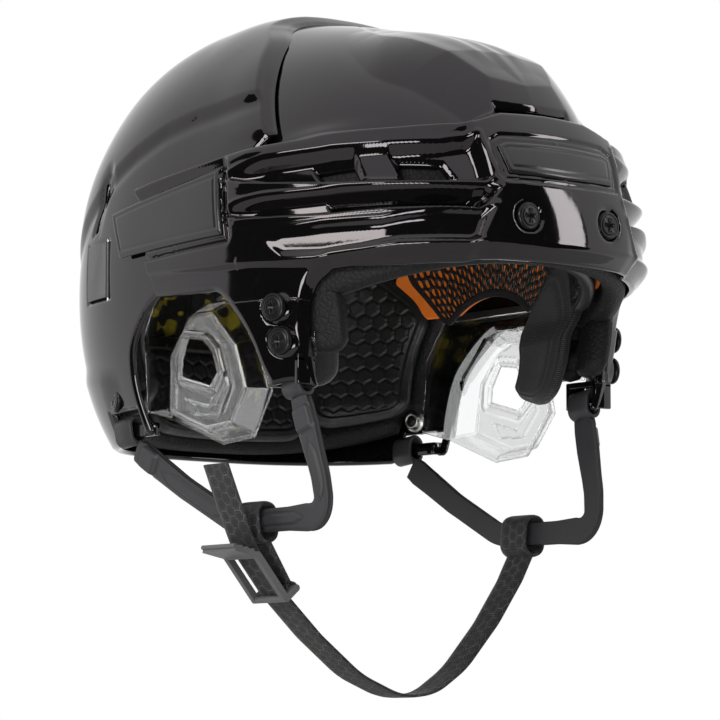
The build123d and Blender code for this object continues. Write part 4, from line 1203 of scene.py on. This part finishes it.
# %% Mould a harness loop
def harness_loop(word, side):
    line, along = rounded_run(HARNESS_RUN, HARNESS_ROUNDS, 0.8)
    ahead, seat = headings(line), harness_seat(side)
    across = np.stack([-ahead[:, 1], ahead[:, 0]], -1)
    lanes = np.linspace(-1, 1, 29)
    s, lane = np.meshgrid(along, lanes, indexing="ij")
    n = lane * loop_width(along)[:, None]
    flat = line[:, None] + across[:, None] * n[..., None]
    top = loop_top(s, n, lane, along[-1])

    def settle(height):
        places = seat[0] + flat[..., :1] * seat[1] + flat[..., 1:] * seat[2]
        return (places + height[..., None] * seat[3]).reshape(-1, 3)

    faces = net(len(along), len(lanes))
    if side > 0:
        faces = [f[::-1] for f in faces]
    shape = Shape()
    shape.add(*wall_from(settle(top), settle(0 * top - HARNESS_HALF), faces, bulge=0.7))
    back, fall = ANCHOR_REAR - ANCHOR_FRONT, ANCHOR_FALL / math.cos(HARNESS_LEAN)
    slope = math.atan2(fall, back)
    hinge = seat[1] * math.cos(slope) + seat[2] * math.sin(slope)
    drop = -seat[1] * math.sin(slope) + seat[2] * math.cos(slope)
    for a, b in ((0, 0), (back, fall)):
        shape.add(*hook(seat[0] + a * seat[1] + b * seat[2], hinge, drop, seat[3]))
    shape.piece(
        word + "_harness_loop",
        body=word + "_harness", slot="harness_grey", finish=harness_plastic, replaces=[word + "_harness"],
    )


for side, word in SIDES:
    harness_loop(word, side)

# %% [markdown]
# ## Chin strap
# The strap is woven polyester webbing, black, printed with a grey honeycomb. It loops
# round the left harness, runs under the chin and comes up behind the buckle to a free
# tail. A short doubled web holds the buckle on the right harness. Webbing is a thin
# flat section carried along its line; the weave and the print are in the material,
# which reads a length and a width stored on each corner as its own coordinates.

# %% Webbing material
def hex_edge(u, v, size):
    """Zero on the lines of a honeycomb, rising to about one half in its cells."""
    across, up = u / size, v / size

    def cell(a, b):
        a = (a.math("FRACT") - 0.5).math("ABSOLUTE")
        b = ((b / 1.7320508).math("FRACT") - 0.5).math("ABSOLUTE") * 1.7320508
        return (a * 0.5 + b * 0.8660254).math("MAXIMUM", a)

    return 0.5 - cell(across, up).math("MINIMUM", cell(across + 0.5, up + 0.8660254))


def woven_coordinates():
    """Length and width along a band or over a pad, in metres."""
    here = Wire.node("ShaderNodeUVMap", settings={"uv_map": "length_width"})
    return [Wire.node("ShaderNodeSeparateXYZ", out=n, Vector=here) for n in (0, 1)]


def webbing_recipe():
    u, v = woven_coordinates()
    warp = (v * (2 * math.pi / 0.0011)).math("SINE")
    weft = (u * (2 * math.pi / 0.0013) + warp * 1.4).math("SINE")
    weave = (weft * 0.5 + warp * 0.5) * 0.5 + 0.5
    fuzz = noise(0.0005, 3.0)
    faded = noise(0.006, 3.0).step(0.38, 0.62)
    wander = noise(0.004, 1.0) * 0.0009
    edge = hex_edge(u + wander, v + wander, 0.0056)
    line = 1 - edge.step(0.045, 0.085)
    inner = (1 - (edge - 0.20).math("ABSOLUTE").step(0.02, 0.045)) * 0.35
    printed = line.math("MAXIMUM", inner) * (faded * 0.55 + 0.25) * (weave * 0.6 + 0.4)
    black = mix(weave * 0.6 + fuzz * 0.3, rgb(0.004, 0.004, 0.0045), rgb(0.013, 0.013, 0.014))
    return {
        "Base_Color": mix(printed, black, rgb(0.11, 0.11, 0.115)),
        "Roughness": fuzz * 0.2 + 0.58,
        "Normal": bump(weave + fuzz * 0.3, 0.00012, 0.9),
    }


webbing = material("printed black webbing", webbing_recipe, Sheen_Weight=0.08)
black_web = {"body": "strap", "slot": "web_black", "finish": webbing}
print("made", webbing.name)


# %% Carry webbing along a line
WEB_WIDTH, WEB_THICK, WEB_MIDDLE, WEB_EDGE = 18.0, 1.6, -20.0, 0.135
EYE_HANG, LOW_BAR_DROP = 0.7, 60


def web_band(shape, notes, line, along, thick=WEB_THICK):
    """A flat band along a line in the plane across the helmet, its width running back."""
    ahead = headings(line)
    out = np.stack([ahead[:, 1], -ahead[:, 0]], -1)
    section = []
    for sign in (1, -1):
        for share in np.linspace(1, -1, 13):
            crown = thick / 2 * (1 - 0.5 * abs(share) ** 8)
            section.append((sign * share * (WEB_WIDTH / 2 - WEB_EDGE), sign * crown))
    section = np.array(section)
    rows, count = len(line), len(section)
    places = np.empty((rows, count, 3))
    places[..., 0] = line[:, None, 0] + out[:, None, 0] * section[:, 1]
    places[..., 1] = WEB_MIDDLE + section[:, 0]
    places[..., 2] = line[:, None, 1] + out[:, None, 1] * section[:, 1]
    ends = [tuple(range(count))[::-1], tuple((rows - 1) * count + k for k in range(count))]
    shape.add(places.reshape(-1, 3), net(rows, count, closed=True) + ends)
    for a in along:
        notes += [(a * MM, q * MM) for q in section[:, 0]]


def with_notes(made, notes):
    """Stores a length and a width for each corner, as the weave's coordinates."""
    layer = made.data.uv_layers.new(name="length_width")
    spots = np.array(notes)[np.array([loop.vertex_index for loop in made.data.loops])]
    layer.data.foreach_set("uv", spots.ravel())


def low_bar(side):
    run = side * (ANCHOR_HALF - LOW_BAR_DROP * math.sin(HARNESS_LEAN))
    return np.array([run, -ANCHOR_DROP - LOW_BAR_DROP * math.cos(HARNESS_LEAN)])


def sewn_eye(side, half_width, half_height):
    """Middle line of an eye round the low bar of a harness, from its foot and back to it."""
    down = np.array([-side * math.sin(HARNESS_LEAN), -math.cos(HARNESS_LEAN)])
    out = np.array([-down[1], down[0]]) * side
    centre = low_bar(side) + down * EYE_HANG
    radius, straight = half_width + WEB_THICK / 2, half_height - half_width
    turn = np.radians(np.linspace(-90, 270, 73))
    fall = np.sin(turn) * radius + np.sign(np.round(np.sin(turn), 6)) * straight
    ring = centre + np.outer(np.cos(turn) * radius, out) - np.outer(fall, down)
    length = np.append(0, np.cumsum(np.linalg.norm(np.diff(ring, axis=0), axis=1)))
    return ring, length, centre + down * (half_height + WEB_THICK / 2)


print("webbing is", WEB_WIDTH, "by", WEB_THICK, "mm")

# %% Chin strap
STRAP_RUN = [
    (-103.5, -91.0), (-97.5, -105.0), (-91.5, -118.5), (-86.2, -129.6), (-70.0, -148.6), (-50.0, -166.5),
    (-26.0, -184.0), (0.0, -194.0), (19.0, -191.5), (37.0, -180.0), (57.0, -158.5), (72.0, -138.0),
    (79.0, -125.6),
]
STRAP_ROUNDS = [60.0, 60.0, 20.0, 30.0, 60.0, 50.0, 40.0, 30.0, 50.0, 50.0, 20.0]

strap, notes = Shape(), []
line, along = rounded_run(STRAP_RUN, STRAP_ROUNDS, 1.2)
web_band(strap, notes, line, along)
ring, length, _ = sewn_eye(1, 5.0, 8.6)
web_band(strap, notes, ring, length)
with_notes(strap.piece("chin_strap_webbing", replaces=["chin_strap"], **black_web), notes)
print("the strap is", round(float(along[-1])), "mm long")

# %% [markdown]
# ## Buckle and anchor web
# The buckle is a ladder of bars between two rails, with a ribbed thumb tab that lifts to
# free the webbing. Its bars have real play round the webbing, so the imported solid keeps
# its shape and gets moulded edges. The short web goes round its lowest bar and up to
# the harness, and is doubled in between.

# %% Anchor web and buckle
BUCKLE_LOW, BUCKLE_HIGH = np.array([-72.3, -150.5]), np.array([-88.5, -131.5])
BAR_OFFSET, BAR_LOOP = 7.6, 2.6
reach = (BUCKLE_HIGH - BUCKLE_LOW) / np.linalg.norm(BUCKLE_HIGH - BUCKLE_LOW)
anchor = BUCKLE_LOW + np.array([reach[1], -reach[0]]) * BAR_OFFSET
web, notes = Shape(), []
ring, length, foot = sewn_eye(-1, 4.2, 8.0)
web_band(web, notes, ring, length)
leg = (foot - anchor) / np.linalg.norm(foot - anchor)
top, low = foot, anchor + leg * BAR_LOOP
run = np.array([top * (1 - t) + low * t for t in np.linspace(0, 1, 24)])
web_band(web, notes, run, np.linspace(0, np.linalg.norm(top - low), 24), 3.0)
turn = np.radians(np.linspace(0, 360, 49))
tilt = math.atan2(leg[1], leg[0])
loop = anchor + BAR_LOOP * np.stack([np.cos(turn + tilt), np.sin(turn + tilt)], -1)
web_band(web, notes, loop, turn * BAR_LOOP, 1.55)
with_notes(web.piece("anchor_web_webbing", replaces=["anchor_web"], **black_web), notes)

buckle_recipe = moulded_recipe((0.085, 0.085, 0.09), (0.12, 0.12, 0.125), 0.36)
softened(
    "strap_buckle_moulding", "strap_buckle", 0.35,
    body="strap", slot="buckle_grey", finish=material("grey buckle plastic", buckle_recipe),
)

# %% [markdown]
# ## Foam and pads
# Inside, the helmet is a sandwich. Closed cell foam lines both shells. In front of the
# forehead and at both sides an orange elastic layer lies on it, seen through the cells
# of a black printed lattice. At the back and temples are soft pads with an embossed
# honeycomb skin or a fine mesh. The rear foam carries a yellow and grey print, which
# shows through the ear guards. Simulating such thin bonded pads would only round them,
# so each is a crowned sheet with soft sides and sewn edges, set out in the same two
# angles as the shells.

# %% Foam and fabric finishes
def foam_recipe():
    cells = {"feature": "DISTANCE_TO_EDGE"}
    beads = Wire.node("ShaderNodeTexVoronoi", Vector=place(), Scale=1 / 0.0028, settings=cells)
    seam = 1 - beads.step(0.0, 0.10)
    grain = noise(0.0005, 3.0)
    return {
        "Base_Color": mix(seam * 0.7, rgb(0.008, 0.008, 0.0085), rgb(0.003, 0.003, 0.003)),
        "Roughness": grain * 0.15 + 0.55,
        "Normal": bump(beads.step(0.0, 0.2) * 0.7 + grain * 0.3, 0.00025),
    }


def printed_foam_recipe():
    """The rear foam carries a print in yellow and grey at the height of the ears."""
    plain = foam_recipe()
    x, height = (Wire.node("ShaderNodeSeparateXYZ", out=n, Vector=place()) for n in (0, 2))
    here = (0.045 - x.math("ABSOLUTE")).step(0.0, 0.001) * (height + 0.034).step(0.0, 0.001)
    shape = (noise(0.009, 1.0, 0.4) + noise(0.003, 0.0) * 0.08).step(0.60, 0.61)
    grey = noise(0.009, 1.0, 0.4).step(0.60, 0.61)
    under = mix(grey, rgb(0.008, 0.008, 0.008), rgb(0.10, 0.10, 0.10))
    print_color = mix(shape, under, rgb(0.52, 0.42, 0.02))
    return {**plain, "Base_Color": mix(here, plain["Base_Color"], print_color)}


orange_recipe = grained((0.80, 0.16, 0.012), (0.92, 0.25, 0.03), (0.0008, 3.0), (0.2, 0.38), cloud=(0.01, 2.0))
lattice_recipe = grained((0.010, 0.010, 0.011), (0.024, 0.024, 0.026), (0.0006, 3.0), (0.2, 0.26))


def honeycomb_recipe():
    line = noise(0.004, 1.0).step(0.4, 0.6) * 0.4
    fine = noise(0.00045, 2.0)
    weave = Wire.node("ShaderNodeTexVoronoi", Vector=place(), Scale=1 / 0.0009).step(0.2, 0.6)
    return {
        "Base_Color": mix(line, rgb(0.012, 0.012, 0.0125), rgb(0.026, 0.026, 0.027)),
        "Roughness": 0.42 - line * 0.2 + fine * 0.1,
        "Normal": bump(weave, 0.00007),
    }


def mesh_recipe():
    u, v = woven_coordinates()
    columns, rows = (u * (2 * math.pi / 0.0016)).math("SINE"), (v * (2 * math.pi / 0.0013)).math("SINE")
    holes = columns * rows * 0.5 + 0.5
    knots = holes.step(0.55, 0.8)
    return {
        "Base_Color": mix(knots, rgb(0.008, 0.008, 0.009), rgb(0.034, 0.034, 0.036)),
        "Roughness": 0.6 - knots * 0.22,
        "Normal": bump(holes, 0.0004, 0.9),
    }


def film_recipe():
    patch = noise(0.016, 1.5, 0.4)
    shape = (patch + noise(0.005, 0.0) * 0.10).step(0.535, 0.545)
    dark = noise(0.010, 1.0, 0.4).step(0.56, 0.57)
    base = mix(shape, rgb(0.045, 0.045, 0.045), rgb(0.52, 0.46, 0.02))
    return {
        "Base_Color": mix(dark, base, rgb(0.02, 0.02, 0.02)),
        "Roughness": noise(0.002, 2.0) * 0.1 + 0.3,
        "Normal": bump(noise(0.004, 2.0), 0.0001),
    }


foam = material("black closed cell foam", foam_recipe, Specular_IOR_Level=0.25)
printed_foam = material("foam with a printed film", printed_foam_recipe, Specular_IOR_Level=0.25)
orange = material("orange elastic layer", orange_recipe)
lattice = material("black printed lattice", lattice_recipe)
honeycomb = material("embossed honeycomb skin", honeycomb_recipe)
mesh_cloth = material("black mesh cloth", mesh_recipe, Sheen_Weight=0.1)
film = material("printed slip film", film_recipe)
print("seven inner finishes")


# %% Places on a pad
PAD_RADIUS, PAD_LEVEL, PAD_BULGE = 105.0, -12.0, 0.6


def pad_place(p):
    """Lengths along the two angles, in millimetres, of places on a pad."""
    ray = p - POLE
    a = np.arcsin(ray[..., 0] / np.linalg.norm(ray, axis=-1))
    b = np.mod(np.arctan2(ray[..., 2], -ray[..., 1]) + 1.2, 2 * math.pi) - 1.2
    return a * PAD_RADIUS, b * PAD_RADIUS * np.cos(a * 0.6)


def rounded_field(across, around, corner):
    """Distance to a field of two spans of angles with round corners."""
    middle = np.mean(across), np.mean(around)
    half = [math.radians((s[1] - s[0]) / 2) * PAD_RADIUS for s in (across, around)]

    def outline(a, b):
        p, q = (np.abs(np.radians(t - m) * PAD_RADIUS) for t, m in zip((a, b), middle))
        return np.hypot(np.maximum(p - half[0] + corner, 0), np.maximum(q - half[1] + corner, 0)) - corner
    return outline


def pad(name, across, around, outside, inside, size, corner, cut=None, cells=None, fill=None, **rest):
    """A sheet between two levels, each a number or a function of the place and the edge's distance."""
    u, v = grid(across, around, math.degrees(size / PAD_RADIUS))
    outline = rounded_field(across, around, corner)

    def distance(a, b):
        out = outline(a, b)
        if cells is not None:
            return np.maximum(out, np.minimum(cells(a, b), -3.0 - out))
        return np.maximum(out, cut(skin(a, b, PAD_LEVEL))) if cut else out

    u, v, keep = cut_grid(u, v, distance)
    places = skin(u, v, PAD_LEVEL)
    edge = -(outline if cells is not None else distance)(u, v)
    high = outside(places) if callable(outside) else outside + 0 * u
    low = inside(edge, places) if callable(inside) else inside + 0 * u
    outer, inner = skin(u, v, high).reshape(-1, 3), skin(u, v, low).reshape(-1, 3)
    made = piece(name, *wall_from(outer, inner, faces_of(keep), PAD_BULGE), **rest)
    corners = np.array([c.co[:] for c in made.data.vertices]) / MM
    with_notes(made, np.stack(pad_place(corners), -1) * MM)


print("pads are sheets over two angles")


# %% Cuts and levels of the pads
POCKET_RADIUS = 8.7


def under_lap(p):
    """Outer level of the front foam, which steps down under the lap of the crown."""
    return -7.5 - 4.8 * ramp(1.5, -1.0, past_seam(7.5, p[..., 1], p[..., 2]))


def round_screws(seats):
    """Distance to the pockets round some screws, seen from the side."""
    def cut(p):
        away = []
        for origin, _, _, out in seats:
            other_side = ((p - origin) @ out) < -30
            away.append(np.linalg.norm(np.cross(p - origin, out), axis=-1) + 60.0 * other_side)
        return POCKET_RADIUS - np.minimum.reduce(away)
    return cut


def hex_inset(u, v, size):
    """How far a place lies inside its hexagon, for cells of a given width."""
    tall = size * math.sqrt(3)
    best = []
    for shift in (0.0, 0.5):
        p = np.mod(u + shift * size, size) - size / 2
        q = np.mod(v + shift * tall, tall) - tall / 2
        best.append(size / 2 - np.maximum(np.abs(p), np.abs(p) / 2 + np.abs(q) * math.sqrt(0.75)))
    return np.maximum(*best)


def crowned(depth, crown, seam=0.8, reach=16.0, comb=0.0):
    """Inner level of a pad: crowned, with a sewn channel along its edge and embossed hexagons."""
    def level(edge, p):
        swell = crown * (1 - (1 - np.clip(edge / reach, 0, 1)) ** 2)
        swell = swell - seam * bell(edge - 4.2, 0.8) + 0.25 * bell(edge - 2.4, 0.7)
        if comb:
            cell = hex_inset((girth_length[-1] - girth(p)) * 0.84, p[..., 2], 8.8)
            swell = swell - comb * ramp(0.9, 0.3, cell) * ramp(5, 6, edge)
        return -(depth + swell)
    return level


def beaded(depth):
    """Inner face of a liner with channels for air between its blocks."""
    def level(edge, p):
        ribs = bell((np.abs(p[..., 0]) - 20.0), 2.2) + bell((np.abs(p[..., 0]) - 52.0), 2.2)
        return -(depth - 2.6 * np.clip(ribs, 0, 1) * ramp(3, 9, edge) - 0.8 * ramp(2, 0, edge))
    return level


print("liners are channelled, pads are crowned")


# %% A net of printed cells
def printed_cells(spacing, strand):
    """Distance into the nearest cell of an irregular net, positive where the net has a hole."""
    def cells(a, b):
        u, v = np.radians(a) * PAD_RADIUS / spacing, np.radians(b) * PAD_RADIUS / spacing
        away, seeds = [], []
        for i in range(-2, 3):
            for j in range(-2, 3):
                column, row = np.floor(u) + i, np.floor(v) + j
                toss = np.sin(column * 12.9898 + row * 78.233) * 437.58
                p = column + 0.5 + 0.5 * (toss % 1 - 0.5) + 0.5 * (row % 2)
                q = row + 0.5 + 0.5 * ((toss * 7.13) % 1 - 0.5)
                away.append(np.hypot(p - u, q - v))
                seeds.append(np.stack([p, q], -1))
        away, seeds = np.stack(away), np.stack(seeds)
        order = np.argsort(away, axis=0)[:2]
        near, next_near = np.take_along_axis(away, order, 0)
        first, second = np.take_along_axis(seeds, order[..., None], 0)
        apart = np.linalg.norm(first - second, axis=-1)
        return (next_near**2 - near**2) / (2 * apart) * spacing - strand / 2
    return cells


print("a net has one cell round each scattered seed")

# %% Foam liners
front_foam = {"body": "helmet_front", "slot": "foam_black", "finish": foam, "fill": 1.0}
rear_foam = {"body": "helmet_rear", "slot": "foam_black", "finish": printed_foam, "fill": 1.0}
front_orange = {"body": "helmet_front", "slot": "insert_orange", "finish": orange, "fill": 0.9}
front_lattice = {"body": "helmet_front", "slot": "printed_black", "finish": lattice, "fill": 0.8}
front_mesh = {"body": "helmet_front", "slot": "pad_mesh", "finish": mesh_cloth, "fill": 0.8}
rear_comb = {"body": "helmet_rear", "slot": "pad_black", "finish": honeycomb, "fill": 0.8}
front_pockets, rear_pockets = round_screws(brow_seats + temple_seats), round_screws(rear_seats)
pad("front_foam", (-62, 62), (17, 86), under_lap, beaded(17.5), 2.0, 10, front_pockets,
    replaces=["front_liner"], **front_foam)
pad("rear_foam", (-58, 58), (97, 193), -3.4, beaded(15.3), 2.0, 10, rear_pockets,
    replaces=["rear_liner"], **rear_foam)


# %% Pads beside the head
def behind_guard(p):
    """The temple cushion bends inwards to pass behind the ear guard."""
    return 4.8 * ramp(-8, -24, p[..., 2])


def cushion_back(p):
    return -18.0 - behind_guard(p)


def cushion_face(edge, p):
    return crowned(23.4, 2.4, 0.5, 9)(edge, p) - behind_guard(p)


for side, word in SIDES:
    def sided(low, high):
        return tuple(sorted((side * low, side * high)))

    pad(word + "_temple_foam", sided(42.6, 59), (1, 16.4), -7.5, -17.3, 1.2, 4, round_screws(temple_seats),
        replaces=[word + "_temple_liner"], **front_foam)
    pad(word + "_temple_cushion", sided(45, 66), (-13, 46), cushion_back, cushion_face, 0.8, 15,
        replaces=[word + "_temple_pad"], **front_mesh)
    pad(word + "_printed_film", sided(44, 60), (50, 84), -17.8, -18.6, 1.5, 6,
        body="helmet_front", slot="film_yellow", finish=film, replaces=[word + "_slip_film"])
    pad(word + "_side_layer", sided(43, 63), (48, 141), -18.8, -21.0, 1.2, 6, lambda p: -1.0 - p[..., 2],
        **front_orange)
    pad(word + "_side_lattice", sided(43, 63), (47, 135), -21.1, crowned(22.0, 0.4, 0.1), 0.6, 9,
        cells=printed_cells(4.8, 1.0), **front_lattice)
    pad(word + "_rear_cushion", sided(27, 55), (140, 189), -15.6, crowned(21.4, 2.5, comb=0.9), 0.6, 12,
        replaces=[word + "_rear_pad"], **rear_comb)

# %% [markdown]
# ## Forehead and crown
# The lattice is printed from elastic strands. Seen from a step away it is a net of
# irregular cells with the orange layer behind it, so one net is cut out of both skins
# of the pad, and the pad's thickness then shows as depth, as it does in the real one.

# %% Orange layer and printed pads
pad("orange_elastic_layer", (-38, 38), (22, 82), -17.8, -20.2, 2.0, 10,
    replaces=["impact_insert"], **front_orange)
for name, half, around, corner in (("forehead", 40, (19, 46), 9), ("crown", 30, (48, 84), 12)):
    pad(name + "_lattice_pad", (-half, half), around, -20.6, crowned(26.4, 2.4, 0.4), 0.62, corner,
        cells=printed_cells(4.6, 1.2), replaces=[name + "_pad"], **front_lattice)
pad("nape_cushion", (-25, 25), (168, 192), -15.6, crowned(21.4, 2.5, comb=0.9), 0.6, 9,
    replaces=["nape_pad"], **rear_comb)

# %% [markdown]
# ## Studio
# The photograph was taken in white surroundings with a dark side towards the camera.
# Black gloss shows such a room as a soft grey sheen, turns near black where it faces
# the dark side, and carries crisp patches where a softbox stands. The edges of those
# reflections on the photographed shell, with the shell's own normals, give the edges of
# the dark side. Here it is a black card that stands behind the camera, as a photographer
# would hang one: the camera doesn't see it from other sides, but the gloss does.

# %% Floor and black card
FLOOR_RADIUS, FLOOR_HEIGHT, CARD_RADIUS = 0.45, -0.245, 2.4


def floor_recipe():
    return {"Base_Color": mix(noise(0.4, 2.0), rgb(0.80, 0.80, 0.80), rgb(0.84, 0.84, 0.84))}


def stage_sheet(name, verts, faces, finish):
    sheet = bpy.data.objects.new(name, bpy.data.meshes.new(name))
    bpy.context.scene.collection.objects.link(sheet)
    sheet.data.from_pydata(verts, [], faces)
    sheet.data.materials.append(finish)
    return sheet


def toward(azimuth, elevation):
    """Direction from the helmet; azimuth 0 is ahead of the face and grows to the wearer's left."""
    turn, lift = math.radians(azimuth), math.radians(elevation)
    return Vector((math.sin(turn) * math.cos(lift), -math.cos(turn) * math.cos(lift), math.sin(lift)))


turns = np.linspace(0, 2 * math.pi, 96, endpoint=False)
rim = [(FLOOR_RADIUS * math.cos(t), FLOOR_RADIUS * math.sin(t), FLOOR_HEIGHT) for t in turns]
stage_sheet("studio_floor", rim, [tuple(range(96))], material("pale floor", floor_recipe, Roughness=0.6))

azimuths, heights = np.linspace(-125, 45, 35), np.linspace(-60, 33, 20)
spots = [tuple(toward(a, b) * CARD_RADIUS) for b in heights for a in azimuths]
cells = faces_of(np.ones((len(heights), len(azimuths)), bool))
card_finish = material("black card", None, Base_Color=rgb(0.02, 0.02, 0.02), Roughness=1.0)
card = stage_sheet("black_card", spots, cells, card_finish)
card.visible_camera = card.visible_transmission = False
print("the floor and the black card stand")

# %% [markdown]
# The world is white to the camera, to gloss and to clear plastic, so all of them show a
# white room, and a little dimmer as a light, so that it doesn't wash out the black.

# %% White world
WHITE, DIMMED = 1.0, 0.6
world = bpy.data.worlds.new("white studio")
bpy.context.scene.world = world
world.use_nodes = True
Wire.tree = world.node_tree
seen = Wire.node("ShaderNodeLightPath", out="Is Camera Ray")
for ray in ("Is Glossy Ray", "Is Transmission Ray"):
    seen = seen.math("MAXIMUM", Wire.node("ShaderNodeLightPath", out=ray))
background = next(n for n in world.node_tree.nodes if n.type == "BACKGROUND")
Wire.feed(background.inputs["Strength"], seen * (WHITE - DIMMED) + DIMMED)
background.inputs["Color"].default_value = rgb(1, 1, 1)
print("the world is white")


# %% Lamps
def lamp(name, azimuth, elevation, distance, size, power, color=(1, 1, 1), mirrored=True):
    light = bpy.data.lights.new(name, "AREA")
    light.shape = "RECTANGLE"
    light.size, light.size_y = size
    light.energy, light.color = power, color
    made = bpy.data.objects.new(name, light)
    bpy.context.scene.collection.objects.link(made)
    away = toward(azimuth, elevation)
    made.location = away * distance
    made.rotation_euler = away.to_track_quat("Z", "Y").to_euler()
    made.visible_glossy = mirrored


lamp("left_softbox", -76, 16, 1.6, (0.95, 0.45), 14, (1, 0.97, 0.92))
lamp("right_softbox", 39.5, 18, 1.7, (0.2, 0.6), 3.2, (1, 0.98, 0.96))
lamp("low_softbox", -50, -20, 1.7, (0.9, 0.42), 13)
lamp("front_fill", -30, 12, 1.9, (0.8, 0.8), 5, mirrored=False)
bpy.context.scene.view_settings.view_transform = "Standard"
print("studio is lit")
